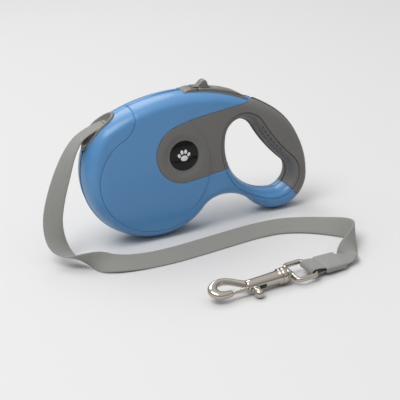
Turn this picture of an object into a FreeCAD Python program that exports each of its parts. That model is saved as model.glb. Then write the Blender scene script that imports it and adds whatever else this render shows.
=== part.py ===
import FreeCAD, Part
import math
import os
import Sketcher
from FreeCAD import Placement, Rotation, Vector

# Retractable tape leash. Millimetres, +Z up, +X from the drum towards the hand grip.
# The casing stands on Z = 0 on its drum and its heel, its parting plane is Y = 0, and the
# tape leaves the nozzle towards -X. "Left" is the -Y side.

doc = FreeCAD.newDocument("retractable_leash")
sheet = doc.addObject("Spreadsheet::Sheet", "Sizes")

SIZES = [
    # casing outline
    ("casing_length", 187.0), ("drum_radius", 56.0), ("drum_thickness", 36.0),
    ("handle_thickness", 27.0), ("heel_radius", 28.0), ("back_radius", 65.9),
    ("back_height", 31.0), ("top_x", -14.2), ("top_height", 111.2), ("brow_radius", 25.0),
    ("arch_x", 16.0), ("arch_height", 21.6), ("shoulder_radius", 24.0),
    # casing walls
    ("wall", 3.0), ("skin", 1.5), ("skin_gap", 0.05), ("seam_gap", 0.2), ("rim_radius", 9.0),
    ("handle_rim_radius", 8.0), ("opening_rim_radius", 5.0),
    # finger opening
    ("grip_depth", 17.5), ("heel_depth", 18.3), ("opening_corner_radius", 12.0),
    ("opening_top_back", 56.3), ("opening_top_height", 67.3), ("opening_front_radius", 41.5),
    ("finger_ridge_radius", 150.0),
    # front cover, grip cover and badge
    ("band_width", 8.0), ("band_turn_radius", 38.0), ("band_top_radius", 19.5),
    ("insert_x", -14.0), ("insert_height", 65.5), ("insert_radius", 23.6),
    ("badge_x", -15.5), ("badge_height", 63.8), ("badge_radius", 12.6), ("badge_rise", 1.6),
    ("dish_radius", 17.0), ("dish_depth", 0.8),
    # nozzle and tape
    ("nozzle_length", 40.0), ("nozzle_width", 21.0), ("nozzle_rise", 1.3), ("nozzle_depth", 3.4),
    ("slot_height", 5.0), ("tape_width", 15.0), ("tape_thickness", 1.0), ("tape_length", 5000.0),
    # reel
    ("axle_radius", 4.0), ("running_gap", 0.05), ("side_gap", 0.4), ("core_radius", 18.0),
    ("flange_radius", 45.0), ("flange_thickness", 1.6), ("tape_room", 16.0),
    ("ratchet_width", 2.2), ("tooth_height", 3.2), ("tooth_count", 24),
    ("spring_case_radius", 38.0), ("spring_case_depth", 4.4), ("spring_thickness", 0.5),
    ("spring_turns", 7), ("arbor_radius", 7.0), ("washer_thickness", 0.5),
    # brake controls
    ("well_start", -7.5), ("well_end", 45.0), ("lever_start", 5.0), ("lever_width", 14.4),
    ("lever_rise", 1.4), ("lever_thickness", 3.2), ("tray_wall", 1.3), ("slide_gap", 0.35),
    ("nose_gap", 1.1),
    ("fin_height", 5.2), ("lock_travel", 4.0), ("brake_angle", 3.0), ("pin_radius", 1.25),
    ("pawl_x", 24.0), ("pawl_height", 94.0), ("pawl_thickness", 2.0), ("brake_coil_radius", 2.2),
    ("spring_cup_x", 18.0), ("spring_cup_depth", 3.0),
    # fasteners
    ("boss_radius", 3.5), ("screw_radius", 1.3), ("screw_head_radius", 2.6),
    ("screw_head_height", 2.0), ("screw_length", 16.0), ("screw_seat", 7.5),
    # tape end and snap hook
    ("snap_x", 6.0), ("snap_y", -138.5), ("snap_height", 6.4), ("snap_turn", 5.0),
    ("snap_tilt", 18.0), ("eye_tilt", 9.0),
    ("barrel_radius", 4.9), ("barrel_tip_radius", 4.3), ("barrel_length", 31.0),
    ("collar_radius", 6.0),
    ("stem_radius", 2.3), ("hook_wire_radius", 2.7), ("bolt_radius", 1.4), ("bolt_offset", 2.0),
    ("bolt_travel", 8.0), ("knob_radius", 3.4), ("eye_inner_width", 17.6), ("eye_wire_radius", 1.7),
    ("eye_length", 20.3), ("sleeve_length", 17.5), ("sleeve_width", 19.0),
    ("sleeve_thickness", 5.0), ("sleeve_turn", 3.0), ("sleeve_pitch", 4.5),
    ("loop_length", 8.5),
]
for row, (alias, value) in enumerate(SIZES, start=1):
    sheet.set(f"A{row}", alias)
    sheet.set(f"B{row}", str(value))
    sheet.setAlias(f"B{row}", alias)
doc.recompute()


def size(alias):
    """A driving dimension, read from the sheet."""
    return float(sheet.get(alias))


SUBPARTS = {}


def finish(obj, name):
    """Names a sub-part after its node and keeps it for the export."""
    obj.Label = name
    SUBPARTS[name] = obj
    return obj


def feature(shape, name, placement=None):
    """A sub-part whose shape is built with Part's own functions."""
    obj = doc.addObject("Part::Feature", name + "_shape")
    obj.Shape = shape
    if placement:
        obj.Placement = placement
    return finish(obj, name)


def bind(obj, **expressions):
    """Ties properties of an object to cells of the sheet."""
    for prop, expression in expressions.items():
        obj.setExpression(prop, expression)


# ---------------------------------------------------------------- plane geometry (X, Z)

def flat(x, z, y=0.0):
    return Vector(x, y, z)


def polar(centre, radius, degrees):
    a = math.radians(degrees)
    return centre + Vector(radius * math.cos(a), 0, radius * math.sin(a))


def towards(start, end, distance):
    """The point that lies this far from start on the way to end."""
    step = end - start
    return start + step * (distance / step.Length)


def meet(centre_a, radius_a, centre_b, radius_b, side):
    """One of the two points where two circles cross; side is 1 or -1."""
    gap = centre_b - centre_a
    along = (radius_a ** 2 - radius_b ** 2 + gap.Length ** 2) / (2 * gap.Length)
    away = math.sqrt(radius_a ** 2 - along ** 2)
    unit = gap * (1 / gap.Length)
    return centre_a + unit * along + Vector(-unit.z, 0, unit.x) * (away * side)


def arc(centre, start, end, turn=1):
    """An arc in the XZ plane; turn is 1 for anticlockwise seen from -Y, -1 for clockwise."""
    a = math.atan2(start.z - centre.z, start.x - centre.x)
    b = math.atan2(end.z - centre.z, end.x - centre.x)
    sweep = (b - a) * turn % (2 * math.pi)
    radius = (start - centre).Length
    middle = polar(centre, radius, math.degrees(a + turn * sweep / 2))
    return Part.Arc(start, middle, end).toShape()


def line(start, end):
    return Part.makeLine(start, end)


def prism(wire, y_low, y_high):
    """A flat XZ wire stretched between two Y planes."""
    face = Part.Face(wire)
    face.translate(Vector(0, y_low, 0))
    return face.extrude(Vector(0, y_high - y_low, 0))


def polygon(points):
    return Part.makePolygon([flat(*p) for p in points] + [flat(*points[0])])


def box(x0, x1, y0, y1, z0, z1):
    return Part.makeBox(x1 - x0, y1 - y0, z1 - z0, Vector(x0, y0, z0))


def rod(start, end, radius):
    """A solid cylinder from one point to another."""
    return Part.makeCylinder(radius, (end - start).Length, start, end - start)


def mirrored(shape):
    return shape.mirror(Vector(0, 0, 0), Vector(0, 1, 0))


# ---------------------------------------------------------------- outlines

half = size("casing_length") / 2
drum_radius = size("drum_radius")
drum = flat(-half + drum_radius, drum_radius)
heel = flat(half - size("heel_radius"), size("heel_radius"))
back = flat(half - size("back_radius"), size("back_height"))

# The top is one long arc that runs into the back of the handle without a corner.
_rise = back.z - size("top_height")
top_radius = (size("back_radius") ** 2 - (back.x - size("top_x")) ** 2 - _rise ** 2) / (
    2 * (_rise + size("back_radius")))
top = flat(size("top_x"), size("top_height") - top_radius)
brow = meet(top, top_radius - size("brow_radius"), drum, drum_radius - size("brow_radius"), 1)


def arch_radius(circle, radius):
    """The radius of the arc from a circle that stands on the floor up to the arch's crown."""
    dx = circle.x - size("arch_x")
    dz = circle.z - size("arch_height")
    return (dx ** 2 + dz ** 2 - radius ** 2) / (2 * size("arch_height"))


crown = flat(size("arch_x"), size("arch_height"))
arch_front = crown - flat(0, arch_radius(drum, drum_radius))
arch_back = crown - flat(0, arch_radius(heel, size("heel_radius")))


def casing_outline():
    """The whole side view of the casing, anticlockwise from the brow."""
    start = towards(drum, brow, drum_radius)
    neck = towards(drum, arch_front, drum_radius)
    sole = towards(heel, arch_back, size("heel_radius"))
    heel_end = flat(half, heel.z)
    back_start = flat(half, back.z)
    back_end = towards(back, top, -size("back_radius"))
    top_end = towards(top, brow, top_radius)
    return Part.Wire([
        arc(drum, start, neck), arc(arch_front, neck, crown, -1), arc(arch_back, crown, sole, -1),
        arc(heel, sole, heel_end), line(heel_end, back_start), arc(back, back_start, back_end),
        arc(top, back_end, top_end), arc(brow, top_end, start)])


def thick_outline():
    """The thicker front part: the drum, and a shoulder that ends in front of the opening."""
    edge_x = drum.x + drum_radius
    shoulder = flat(edge_x - size("shoulder_radius"), 0)
    reach = top_radius - size("shoulder_radius")
    shoulder.z = top.z + math.sqrt(reach ** 2 - (shoulder.x - top.x) ** 2)
    start = towards(drum, brow, drum_radius)
    drum_end = flat(edge_x, drum.z)
    shoulder_start = flat(edge_x, shoulder.z)
    top_start = towards(top, shoulder, top_radius)
    top_end = towards(top, brow, top_radius)
    return Part.Wire([
        arc(drum, start, drum_end), line(drum_end, shoulder_start),
        arc(shoulder, shoulder_start, top_start), arc(top, top_start, top_end),
        arc(brow, top_end, start)])


corner = flat(half - size("grip_depth") - size("opening_corner_radius"),
              size("heel_depth") + size("opening_corner_radius"))
loft = flat(half - size("opening_top_back"), size("opening_top_height"))


def opening_outline(grow=0.0):
    """The finger opening; grow widens it all round."""
    small = size("opening_corner_radius")
    # the two corners can't be joined by an arc that is smaller than half their distance
    front_gap = max(size("opening_front_radius") - small, (corner - loft).Length / 2 + 1)
    ridge_gap = size("finger_ridge_radius") + small
    front = meet(loft, front_gap, corner, front_gap, 1)
    ridge = meet(loft, ridge_gap, corner, ridge_gap, 1)
    small += grow
    loft_front = towards(loft, front, -small)
    corner_front = towards(corner, front, -small)
    corner_ridge = towards(corner, ridge, small)
    loft_ridge = towards(loft, ridge, small)
    return Part.Wire([
        arc(front, loft_front, corner_front), arc(corner, corner_front, corner_ridge),
        arc(ridge, corner_ridge, loft_ridge, -1), arc(loft, loft_ridge, loft_front)])


def rounded(shape, radius, edges):
    """Rounds edges, with a smaller radius where the full one leaves no room."""
    for share in (1.0, 0.75, 0.5, 0.25):
        try:
            return shape.makeFillet(radius * share, edges)
        except Part.OCCError:
            print("no room for a rim radius of", round(radius * share, 2))
    raise RuntimeError("an edge can't be rounded")


def slab(wire, thickness, rim, inset):
    """Half of a rounded slab on the left of the parting plane, shrunk by inset all over."""
    if inset:
        wire = wire.makeOffset2D(-inset)
    depth = thickness / 2 - inset
    solid = prism(wire, -depth, 0)
    edges = [e for e in solid.Edges if e.BoundBox.YMax < -depth + 0.01]
    return rounded(solid, rim - inset, edges)


def casing_half(inset):
    """The left half of the casing as one solid lump, with the finger opening through it."""
    lump = slab(casing_outline(), size("handle_thickness"), size("handle_rim_radius"), inset)
    lump = lump.fuse(slab(thick_outline(), size("drum_thickness"), size("rim_radius"), inset))
    depth = size("handle_thickness") / 2 - inset
    hole = prism(opening_outline(inset), -size("drum_thickness"), 1)
    lump = lump.cut(hole)
    rim = [e for e in lump.Edges
           if abs(e.BoundBox.YMax + depth) < 0.01 and abs(e.BoundBox.YMin + depth) < 0.01
           and opening_near(e)]
    return rounded(lump, size("opening_rim_radius") - inset, rim)


def opening_near(edge):
    """Whether an edge belongs to the rim of the finger opening."""
    middle = edge.valueAt((edge.FirstParameter + edge.LastParameter) / 2)
    probe = Part.Vertex(flat(middle.x, middle.z))
    return opening_outline().distToShape(probe)[0] < size("wall") + 0.01


# ---------------------------------------------------------------- regions of the skin

FAR = 3 * half


def front_region(grow=0.0):
    """The band that wraps the front of the drum, as an XZ face outline."""
    inner = drum_radius - size("band_width") - grow
    turn = size("band_turn_radius") - grow
    bend = size("band_top_radius") + grow
    exit_x = drum.x + 0.35 * drum_radius + grow
    exit_point = flat(exit_x, drum.z - math.sqrt(inner ** 2 - (exit_x - drum.x) ** 2))
    turn_centre = polar(drum, inner - turn, 215)
    turn_start = polar(drum, inner, 215)
    bend_centre = polar(turn_centre, turn + bend, 115.2)
    turn_end = polar(turn_centre, turn, 115.2)
    bend_end = polar(bend_centre, bend, 14)
    return Part.Wire([
        arc(drum, exit_point, turn_start, -1), arc(turn_centre, turn_start, turn_end, -1),
        arc(bend_centre, turn_end, bend_end), line(bend_end, flat(bend_end.x, FAR)),
        line(flat(bend_end.x, FAR), flat(-FAR, FAR)), line(flat(-FAR, FAR), flat(-FAR, -FAR)),
        line(flat(-FAR, -FAR), flat(exit_point.x, -FAR)),
        line(flat(exit_point.x, -FAR), exit_point)])


def grip_region():
    """The insert round the badge and the overmoulded grip behind it, as an XZ face outline."""
    centre = flat(size("insert_x"), size("insert_height"))
    upper = polar(centre, size("insert_radius"), 94)
    lower = polar(centre, size("insert_radius"), 274)
    tip_x = half - 42
    tip = flat(tip_x, top.z + math.sqrt(top_radius ** 2 - (tip_x - top.x) ** 2))
    seam = corner + flat(8.4, -9.8)
    beyond = seam + flat(24, -30)
    points = [lower, flat(loft.x - 9, lower.z + 2.5), corner, seam, beyond, flat(FAR, beyond.z),
              flat(FAR, FAR), flat(tip.x, FAR), tip, upper]
    sides = [line(a, b) for a, b in zip(points, points[1:])]
    return Part.Wire(sides + [arc(centre, upper, lower)])


def skin(region):
    """One moulded skin on the left half: the outer layer of the casing inside a region."""
    layer = casing_half(0).cut(casing_half(size("skin")))
    piece = layer.common(prism(region, -FAR, FAR))
    return piece.cut(control_well(size("seam_gap"))).cut(nozzle_prism(size("seam_gap")))


# ---------------------------------------------------------------- nozzle

nozzle_top = flat(top.x - 46.8, 0)
nozzle_top.z = top.z + math.sqrt(top_radius ** 2 - (nozzle_top.x - top.x) ** 2)
nozzle_bottom = polar(drum, drum_radius, 158)
nozzle_middle = (nozzle_top + nozzle_bottom) * 0.5
nozzle_lean = math.degrees(math.atan2(nozzle_top.z - nozzle_bottom.z,
                                      nozzle_top.x - nozzle_bottom.x))


def nozzle_prism(grow=0.0):
    """The oval column that the nozzle fills, across the rim of the drum."""
    width = size("nozzle_width") / 2 + grow
    reach = size("nozzle_length") / 2 + grow - width
    column = Part.makeBox(2 * reach, 2 * width, 30, Vector(-reach, -width, -15))
    for x in (-reach, reach):
        column = column.fuse(Part.makeCylinder(width, 30, Vector(x, 0, -15)))
    column.Placement = Placement(nozzle_middle, Rotation(Vector(0, 1, 0), -nozzle_lean))
    return column


exit_direction = Vector(-0.97, 0, -0.24)
slot_centre = drum + flat(-33.5, 40.0)


def tape_slot(height, width):
    """The slot that the tape runs through, as a slanted block."""
    block = Part.makeBox(36, width, height, Vector(-18, -width / 2, -height / 2))
    lean = math.degrees(math.atan2(exit_direction.z, -exit_direction.x))
    block.Placement = Placement(slot_centre, Rotation(Vector(0, 1, 0), lean))
    return block


def make_nozzle():
    width = size("drum_thickness")
    outer = prism(casing_outline().makeOffset2D(size("nozzle_rise")), -width, width)
    inner = prism(casing_outline().makeOffset2D(size("nozzle_rise") - size("nozzle_depth")),
                  -width, width)
    plate = outer.cut(inner).common(nozzle_prism())
    plate = plate.cut(tape_slot(size("slot_height"), size("tape_width") + 1.0))
    feature(plate, "tape_nozzle")


# ---------------------------------------------------------------- brake controls

def ring_block(x0, x1, r0, r1, half_width):
    """A block that follows the casing's top arc between two X stations and two radii."""
    a0 = math.degrees(math.acos((x0 - top.x) / top_radius))
    a1 = math.degrees(math.acos((x1 - top.x) / top_radius))
    outline = Part.Wire([
        arc(top, polar(top, r1, a1), polar(top, r1, a0)),
        line(polar(top, r1, a0), polar(top, r0, a0)),
        arc(top, polar(top, r0, a0), polar(top, r0, a1), -1),
        line(polar(top, r0, a1), polar(top, r1, a1))])
    return prism(outline, -half_width, half_width)


lever_half = size("lever_width") / 2
well_half = lever_half + size("slide_gap")
tray_half = well_half + size("tray_wall")
tray_floor = top_radius - 6.5
lever_top = top_radius + size("lever_rise")
lever_under = lever_top - size("lever_thickness")


def control_well(grow=0.0):
    """The space that the brake controls take out of the casing's top."""
    return ring_block(size("well_start") - grow, size("well_end") + grow,
                      tray_floor - grow, top_radius + 12, tray_half + grow)


def make_control_tray():
    """A fixed tray in the casing's top, with a nose in front of the lever."""
    start, end = size("well_start"), size("well_end")
    wall = size("tray_wall")
    nose_end = size("lever_start") - size("nose_gap")
    tray = ring_block(start, end, tray_floor, top_radius - 0.8, tray_half)
    tray = tray.cut(ring_block(nose_end, end - wall, tray_floor + wall, top_radius + 2, well_half))
    nose = ring_block(start, nose_end, top_radius - 1.0, lever_top - 0.5, lever_half)
    front = [e for e in nose.Edges if e.BoundBox.XMax < start + 1.5]
    tray = tray.fuse(nose.makeChamfer(1.2, front[:1]) if front else nose)
    slider_slot = box(-0.6, nose_end + 1, -1.9, 1.9, top.z + tray_floor - 4, top_radius + FAR)
    tray = tray.cut(slider_slot.common(ring_block(-2, nose_end + 1, tray_floor + wall,
                                                  top_radius + 8, 3)))
    pusher_hole = box(6.0, 10.2, -7.2, -2.2, 0, FAR)
    tray = tray.cut(pusher_hole.common(ring_block(4, 12, tray_floor - 1, tray_floor + 4, 9)))
    cup_x = size("spring_cup_x")
    cup_radius = size("brake_coil_radius") + 0.7
    cup_top = flat(cup_x, tray_level(cup_x))
    cup_floor = cup_top - flat(0, size("spring_cup_depth"))
    tray = tray.fuse(rod(cup_floor - flat(0, wall), cup_top - flat(0, 0.6), cup_radius + 0.9))
    tray = tray.cut(rod(cup_floor, cup_top + flat(0, 2), cup_radius))
    pin_bore = rod(lever_pivot - Vector(0, 20, 0), lever_pivot + Vector(0, 20, 0),
                   size("pin_radius") + 0.01)
    feature(tray.cut(pin_bore), "control_tray")


def tray_level(x):
    """Height of the tray's floor at an X station."""
    return top.z + math.sqrt((tray_floor + size("tray_wall")) ** 2 - (x - top.x) ** 2)


lever_pivot = polar(top, top_radius - 2.6, 90 - math.degrees(math.asin(
    (size("well_end") - 5.0 - top.x) / top_radius)))
pawl_pivot = flat(size("pawl_x"), size("pawl_height"))
pusher_x = 8.0
PAWL_ANGLE = 55.0  # where the pawl's nose hangs over the ratchet


def make_brake_lever():
    """The thumb lever that turns on a pin at its rear end."""
    gap = size("slide_gap")
    end = size("well_end") - size("tray_wall") - 1.2
    lever = ring_block(size("lever_start"), end, lever_under, lever_top, lever_half)
    lever = lever.cut(box(0, 9.2, -2.4, 2.4, 0, FAR))
    hub = rod(lever_pivot - Vector(0, lever_half, 0), lever_pivot + Vector(0, lever_half, 0), 2.2)
    lever = lever.fuse(hub)
    pusher = box(pusher_x - 1.4, pusher_x + 1.4, -6.4, -3.2, pawl_pad_top() + gap, lever_seat())
    lever = lever.fuse(pusher)
    bore = rod(lever_pivot - Vector(0, 20, 0), lever_pivot + Vector(0, 20, 0),
               size("pin_radius") + size("running_gap"))
    feature(lever.cut(bore), "brake_lever")


def lever_seat():
    """The height where the pusher grows out of the lever."""
    return top.z + math.sqrt(lever_under ** 2 - (pusher_x - top.x) ** 2) + 1.0


def pawl_pad_top():
    return size("pawl_height") + 4.6


def make_lock_slider():
    """The lock's thumb fin, on a plate that slides forward over the nose."""
    gap = size("slide_gap")
    plate_low = lever_top + gap + 0.1
    plate = ring_block(1.6, 15.4, plate_low, plate_low + 1.0, 4.2)
    fin = polygon([(2.8, 0), (9.4, size("fin_height")), (12.2, size("fin_height") - 0.5),
                   (15.0, 0)])
    fin = prism(fin, -3.4, 3.4)
    lean = math.degrees(math.asin((9.0 - top.x) / top_radius))
    base = polar(top, plate_low + 0.4, 90 - lean) - flat(9.0, 0)
    fin.Placement = Placement(base, Rotation())
    fin.rotate(base + flat(9.0, 0), Vector(0, 1, 0), lean)
    stem = ring_block(4.9, 7.7, top_radius - 3.4, plate_low + 0.5, 1.5)
    feature(plate.fuse([fin, stem]), "lock_slider")


def make_brake_pawl():
    """The pawl that drops into the ratchet when the lever is pressed."""
    tip = polar(drum, tooth_tip() + 1.0, PAWL_ANGLE)
    heel_of_nose = polar(drum, tooth_tip() + 1.0, PAWL_ANGLE + 3)
    outline = polygon([
        (tip.x, tip.z), (heel_of_nose.x, heel_of_nose.z), (heel_of_nose.x + 1.2, tip.z + 5.0),
        (pawl_pivot.x, pawl_pivot.z + 4.0), (pawl_pivot.x + 4.0, pawl_pivot.z),
        (pawl_pivot.x, pawl_pivot.z - 3.6), (tip.x + 0.65, tip.z + 2.8)])
    y_high = -size("tape_room") / 2 - 0.1
    y_low = y_high - size("pawl_thickness")
    pawl = prism(outline, y_low, y_high)
    pad = box(pusher_x - 2.6, pusher_x + 2.6, y_low, -3.0, pawl_pad_top() - 2.4, pawl_pad_top())
    pawl = pawl.fuse(pad).fuse(rod(pawl_pivot + Vector(0, y_low, 0),
                                   pawl_pivot + Vector(0, y_high + 2.0, 0), 3.2))
    bore = rod(pawl_pivot - Vector(0, 30, 0), pawl_pivot + Vector(0, 30, 0),
               size("pin_radius") + size("running_gap"))
    feature(pawl.cut(bore), "brake_pawl")


def make_pins():
    """The lever's and the pawl's pins."""
    lever_reach = tray_half - 0.1
    pin = doc.addObject("Part::Cylinder", "lever_pin_shape")
    bind(pin, Radius="Sizes.pin_radius")
    pin.Height = 2 * lever_reach
    pin.Placement = Placement(lever_pivot + Vector(0, -lever_reach, 0),
                              Rotation(Vector(1, 0, 0), -90))
    finish(pin, "lever_pin")
    reach = pawl_pin_reach()
    pin = doc.addObject("Part::Cylinder", "pawl_pin_shape")
    bind(pin, Radius="Sizes.pin_radius")
    pin.Height = 2 * reach
    pin.Placement = Placement(pawl_pivot + Vector(0, -reach, 0), Rotation(Vector(1, 0, 0), -90))
    finish(pin, "pawl_pin")


def pawl_pin_reach():
    """How far the pawl's pin reaches into the walls beside the neck."""
    return size("handle_thickness") / 2 - size("skin") - 0.3


def tooth_tip():
    return size("flange_radius") + size("tooth_height") - 1.0


def coil(radius, wire, length, turns, start, rotation):
    """A compression spring with its axis along its own +Z before it is turned."""
    pitch = length / turns
    helix = Part.makeHelix(pitch, length, radius)
    section = Part.Wire(Part.makeCircle(wire, Vector(radius, 0, 0), Vector(0, 1, 0)))
    spring = Part.Wire(helix).makePipeShell([section], True, True)
    spring.Placement = Placement(start, rotation)
    return spring


def make_brake_spring():
    """The coil that lifts the lever, between the tray's floor and the lever."""
    x = size("spring_cup_x")
    wire = 0.3
    foot = tray_level(x) - size("spring_cup_depth") + wire + 0.1
    head = top.z + math.sqrt(lever_under ** 2 - (x + 3 - top.x) ** 2) - wire - 0.1
    feature(coil(size("brake_coil_radius"), wire, head - foot, 4, Vector(x, 0, foot),
                 Rotation()), "brake_spring")


# ---------------------------------------------------------------- reel

def revolved(name, rows):
    """A body turned about the reel's Y axis.

    rows is a list of (radius, y) corners, each a pair of expressions of sheet names.
    """
    body = doc.addObject("PartDesign::Body", name + "_body")
    sketch = body.newObject("Sketcher::SketchObject", name + "_profile")
    plane = [f for f in body.Origin.OriginFeatures if f.Role == "XY_Plane"][0]
    sketch.AttachmentSupport = [(plane, "")]
    sketch.MapMode = "FlatFace"
    names = {alias: size(alias) for alias, _ in SIZES}
    corners = [[sheet_value(text, names) for text in row] for row in rows]
    count = len(corners)
    for i in range(count):
        a, b = corners[i], corners[(i + 1) % count]
        sketch.addGeometry(Part.LineSegment(Vector(a[0], a[1], 0), Vector(b[0], b[1], 0)))
    for i in range(count):
        sketch.addConstraint(Sketcher.Constraint("Coincident", i, 2, (i + 1) % count, 1))
    for i, row in enumerate(rows):
        for kind, text, value in zip(("DistanceX", "DistanceY"), row, corners[i]):
            index = sketch.addConstraint(Sketcher.Constraint(kind, -1, 1, i, 1, value))
            sketch.setExpression(f"Constraints[{index}]", sheet_text(text, names))
    turned = body.newObject("PartDesign::Revolution", name + "_turned")
    turned.Profile = sketch
    turned.ReferenceAxis = (sketch, ["V_Axis"])
    turned.Angle = 360
    doc.recompute()
    return body


def sheet_text(text, names):
    """An expression with its sheet names written out in full."""
    words = text.replace("(", " ( ").replace(")", " ) ").split()
    return " ".join("Sizes." + w if w in names else w for w in words)


def sheet_value(text, names):
    """The number that an expression of sheet names and + - * / stands for."""
    probe = doc.addObject("App::FeaturePython", "probe")
    probe.addProperty("App::PropertyFloat", "Value")
    probe.setExpression("Value", sheet_text(text, names))
    doc.recompute()
    value = probe.Value
    doc.removeObject(probe.Name)
    return value


# Y stations of the reel, from the left flange to the spring case's lid
ROOM = "tape_room / 2"
RATCHET_SIDE = "-1 * ( tape_room / 2 + ratchet_width )"
RIGHT_FLANGE = "tape_room / 2 + flange_thickness"
BORE = "axle_radius + running_gap"


def reel_left():
    """Distance of the reel's left face from the parting plane."""
    return size("tape_room") / 2 + size("ratchet_width")


def on_reel(body, name):
    body.Placement = Placement(drum, Rotation())
    return finish(body, name)


def make_reel_hub():
    """The hub with its left flange, whose rim carries the ratchet's teeth."""
    body = revolved("reel_hub", [
        (BORE, RATCHET_SIDE), ("flange_radius - 1", RATCHET_SIDE),
        ("flange_radius - 1", "-1 * tape_room / 2"), ("core_radius", "-1 * tape_room / 2"),
        ("core_radius", ROOM), (BORE, ROOM)])
    sketch = body.newObject("Sketcher::SketchObject", "tooth_profile")
    plane = [f for f in body.Origin.OriginFeatures if f.Role == "XZ_Plane"][0]
    sketch.AttachmentSupport = [(plane, "")]
    sketch.MapMode = "FlatFace"
    sketch.setExpression("AttachmentOffset.Base.z", "Sizes.tape_room / 2")
    root = size("flange_radius") - 1.6
    tip = tooth_tip()
    pitch = 360 / size("tooth_count")
    # each tooth has a steep face that the pawl locks against and a long back
    shape = [(root, 0.0), (tip, 0.0), (tip - 0.2, 0.14 * pitch), (root, 0.62 * pitch)]
    steep = PAWL_ANGLE - 3.1
    points = [polar(Vector(), r, steep - a) for r, a in shape]
    for a, b in zip(points, points[1:] + points[:1]):
        sketch.addGeometry(Part.LineSegment(Vector(a.x, a.z, 0), Vector(b.x, b.z, 0)))
    for i in range(4):
        sketch.addConstraint(Sketcher.Constraint("Coincident", i, 2, (i + 1) % 4, 1))
    tooth = body.newObject("PartDesign::Pad", "tooth")
    tooth.Profile = sketch
    bind(tooth, Length="Sizes.ratchet_width")
    doc.recompute()
    ring = body.newObject("PartDesign::PolarPattern", "teeth")
    ring.Originals = [tooth]
    ring.Axis = ([f for f in body.Origin.OriginFeatures if f.Role == "Y_Axis"][0], [""])
    ring.Angle = 360
    bind(ring, Occurrences="Sizes.tooth_count")
    body.Tip = ring
    on_reel(body, "reel_hub")


def make_reel_flange():
    on_reel(revolved("reel_flange", [
        ("core_radius - 6", ROOM), ("flange_radius", ROOM), ("flange_radius", RIGHT_FLANGE),
        ("core_radius - 6", RIGHT_FLANGE)]), "reel_flange")


def pack_radius():
    """Outer radius of the wound tape: its side area is the tape's length times thickness."""
    area = size("tape_length") * size("tape_thickness")
    return math.sqrt(size("core_radius") ** 2 + area / math.pi)


def make_tape_pack():
    ring = Part.makeCylinder(pack_radius(), size("tape_width"),
                             Vector(0, -size("tape_width") / 2, 0), Vector(0, 1, 0))
    core = Part.makeCylinder(size("core_radius"), 2 * size("tape_width"),
                             Vector(0, -size("tape_width"), 0), Vector(0, 1, 0))
    feature(ring.cut(core), "wound_tape", Placement(drum, Rotation()))


CASE_SIDE = "tape_room / 2 + flange_thickness + spring_case_depth"


def make_spring_case():
    """The open cup on the right flange that holds the power spring."""
    on_reel(revolved("spring_case", [
        ("spring_case_radius - 1.4", RIGHT_FLANGE), ("spring_case_radius", RIGHT_FLANGE),
        ("spring_case_radius", CASE_SIDE), ("spring_case_radius - 1.4", CASE_SIDE)]),
        "spring_case")


def make_power_spring():
    """The spiral steel ribbon between the fixed arbor and the cup."""
    inner = size("arbor_radius") + 0.6
    outer = size("spring_case_radius") - 1.4 - 1.0
    turns = size("spring_turns")
    steps = int(turns * 12)
    pitch = (outer - inner - size("spring_thickness")) / turns

    def spiral(offset):
        points = [polar(Vector(), inner + offset + pitch * i / 12, 30 * i)
                  for i in range(steps + 1)]
        curve = Part.BSplineCurve()
        curve.interpolate(points)
        return curve.toShape()
    low, high = spiral(0), spiral(size("spring_thickness"))
    ends = [line(low.Vertexes[i].Point, high.Vertexes[i].Point) for i in (0, -1)]
    face = Part.Face(Part.Wire(Part.sortEdges([low, high] + ends)[0]))
    start = size("tape_room") / 2 + size("flange_thickness") + 0.3
    face.translate(Vector(0, start, 0))
    ribbon = face.extrude(Vector(0, size("spring_case_depth") - 0.6, 0))
    feature(ribbon, "power_spring", Placement(drum, Rotation()))


def make_axle():
    """The fixed steel axle, its spring arbor and the two thrust washers."""
    on_reel(revolved("reel_axle", [
        ("0", "-1 * ( drum_thickness / 2 - wall )"),
        ("axle_radius", "-1 * ( drum_thickness / 2 - wall )"),
        ("axle_radius", "drum_thickness / 2 - wall"), ("0", "drum_thickness / 2 - wall")]),
        "reel_axle")
    on_reel(revolved("spring_arbor", [
        ("axle_radius", "tape_room / 2 + flange_thickness + side_gap"),
        ("arbor_radius", "tape_room / 2 + flange_thickness + side_gap"),
        ("arbor_radius", "drum_thickness / 2 - wall"),
        ("axle_radius", "drum_thickness / 2 - wall")]), "spring_arbor")
    left = -(reel_left() + size("side_gap") / 2 + size("washer_thickness"))
    right = size("tape_room") / 2 + size("side_gap") / 2
    rings = []
    for y in (left, right):
        disc = Part.makeCylinder(size("core_radius") / 2, size("washer_thickness"),
                                 Vector(0, y, 0), Vector(0, 1, 0))
        hole = Part.makeCylinder(size("axle_radius") + size("running_gap"), 4,
                                 Vector(0, y - 2, 0), Vector(0, 1, 0))
        rings.append(disc.cut(hole))
    feature(Part.makeCompound(rings), "thrust_washers", Placement(drum, Rotation()))


# ---------------------------------------------------------------- casing

def boss_places():
    """The six screw bosses: two round the drum, two at the neck and two in the handle."""
    ring = drum_radius - 4.7
    return [polar(drum, ring, 205), polar(drum, ring, 285), flat(arch_front.x - 4, crown.z + 9.5),
            flat(loft.x - 23.2, loft.z + 8.7), flat(heel.x + 2.5, size("heel_depth") / 2),
            flat(half - 13.0, corner.z + 20)]


def boss(place, y0, y1):
    return rod(place + Vector(0, y0, 0), place + Vector(0, y1, 0), size("boss_radius"))


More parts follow.
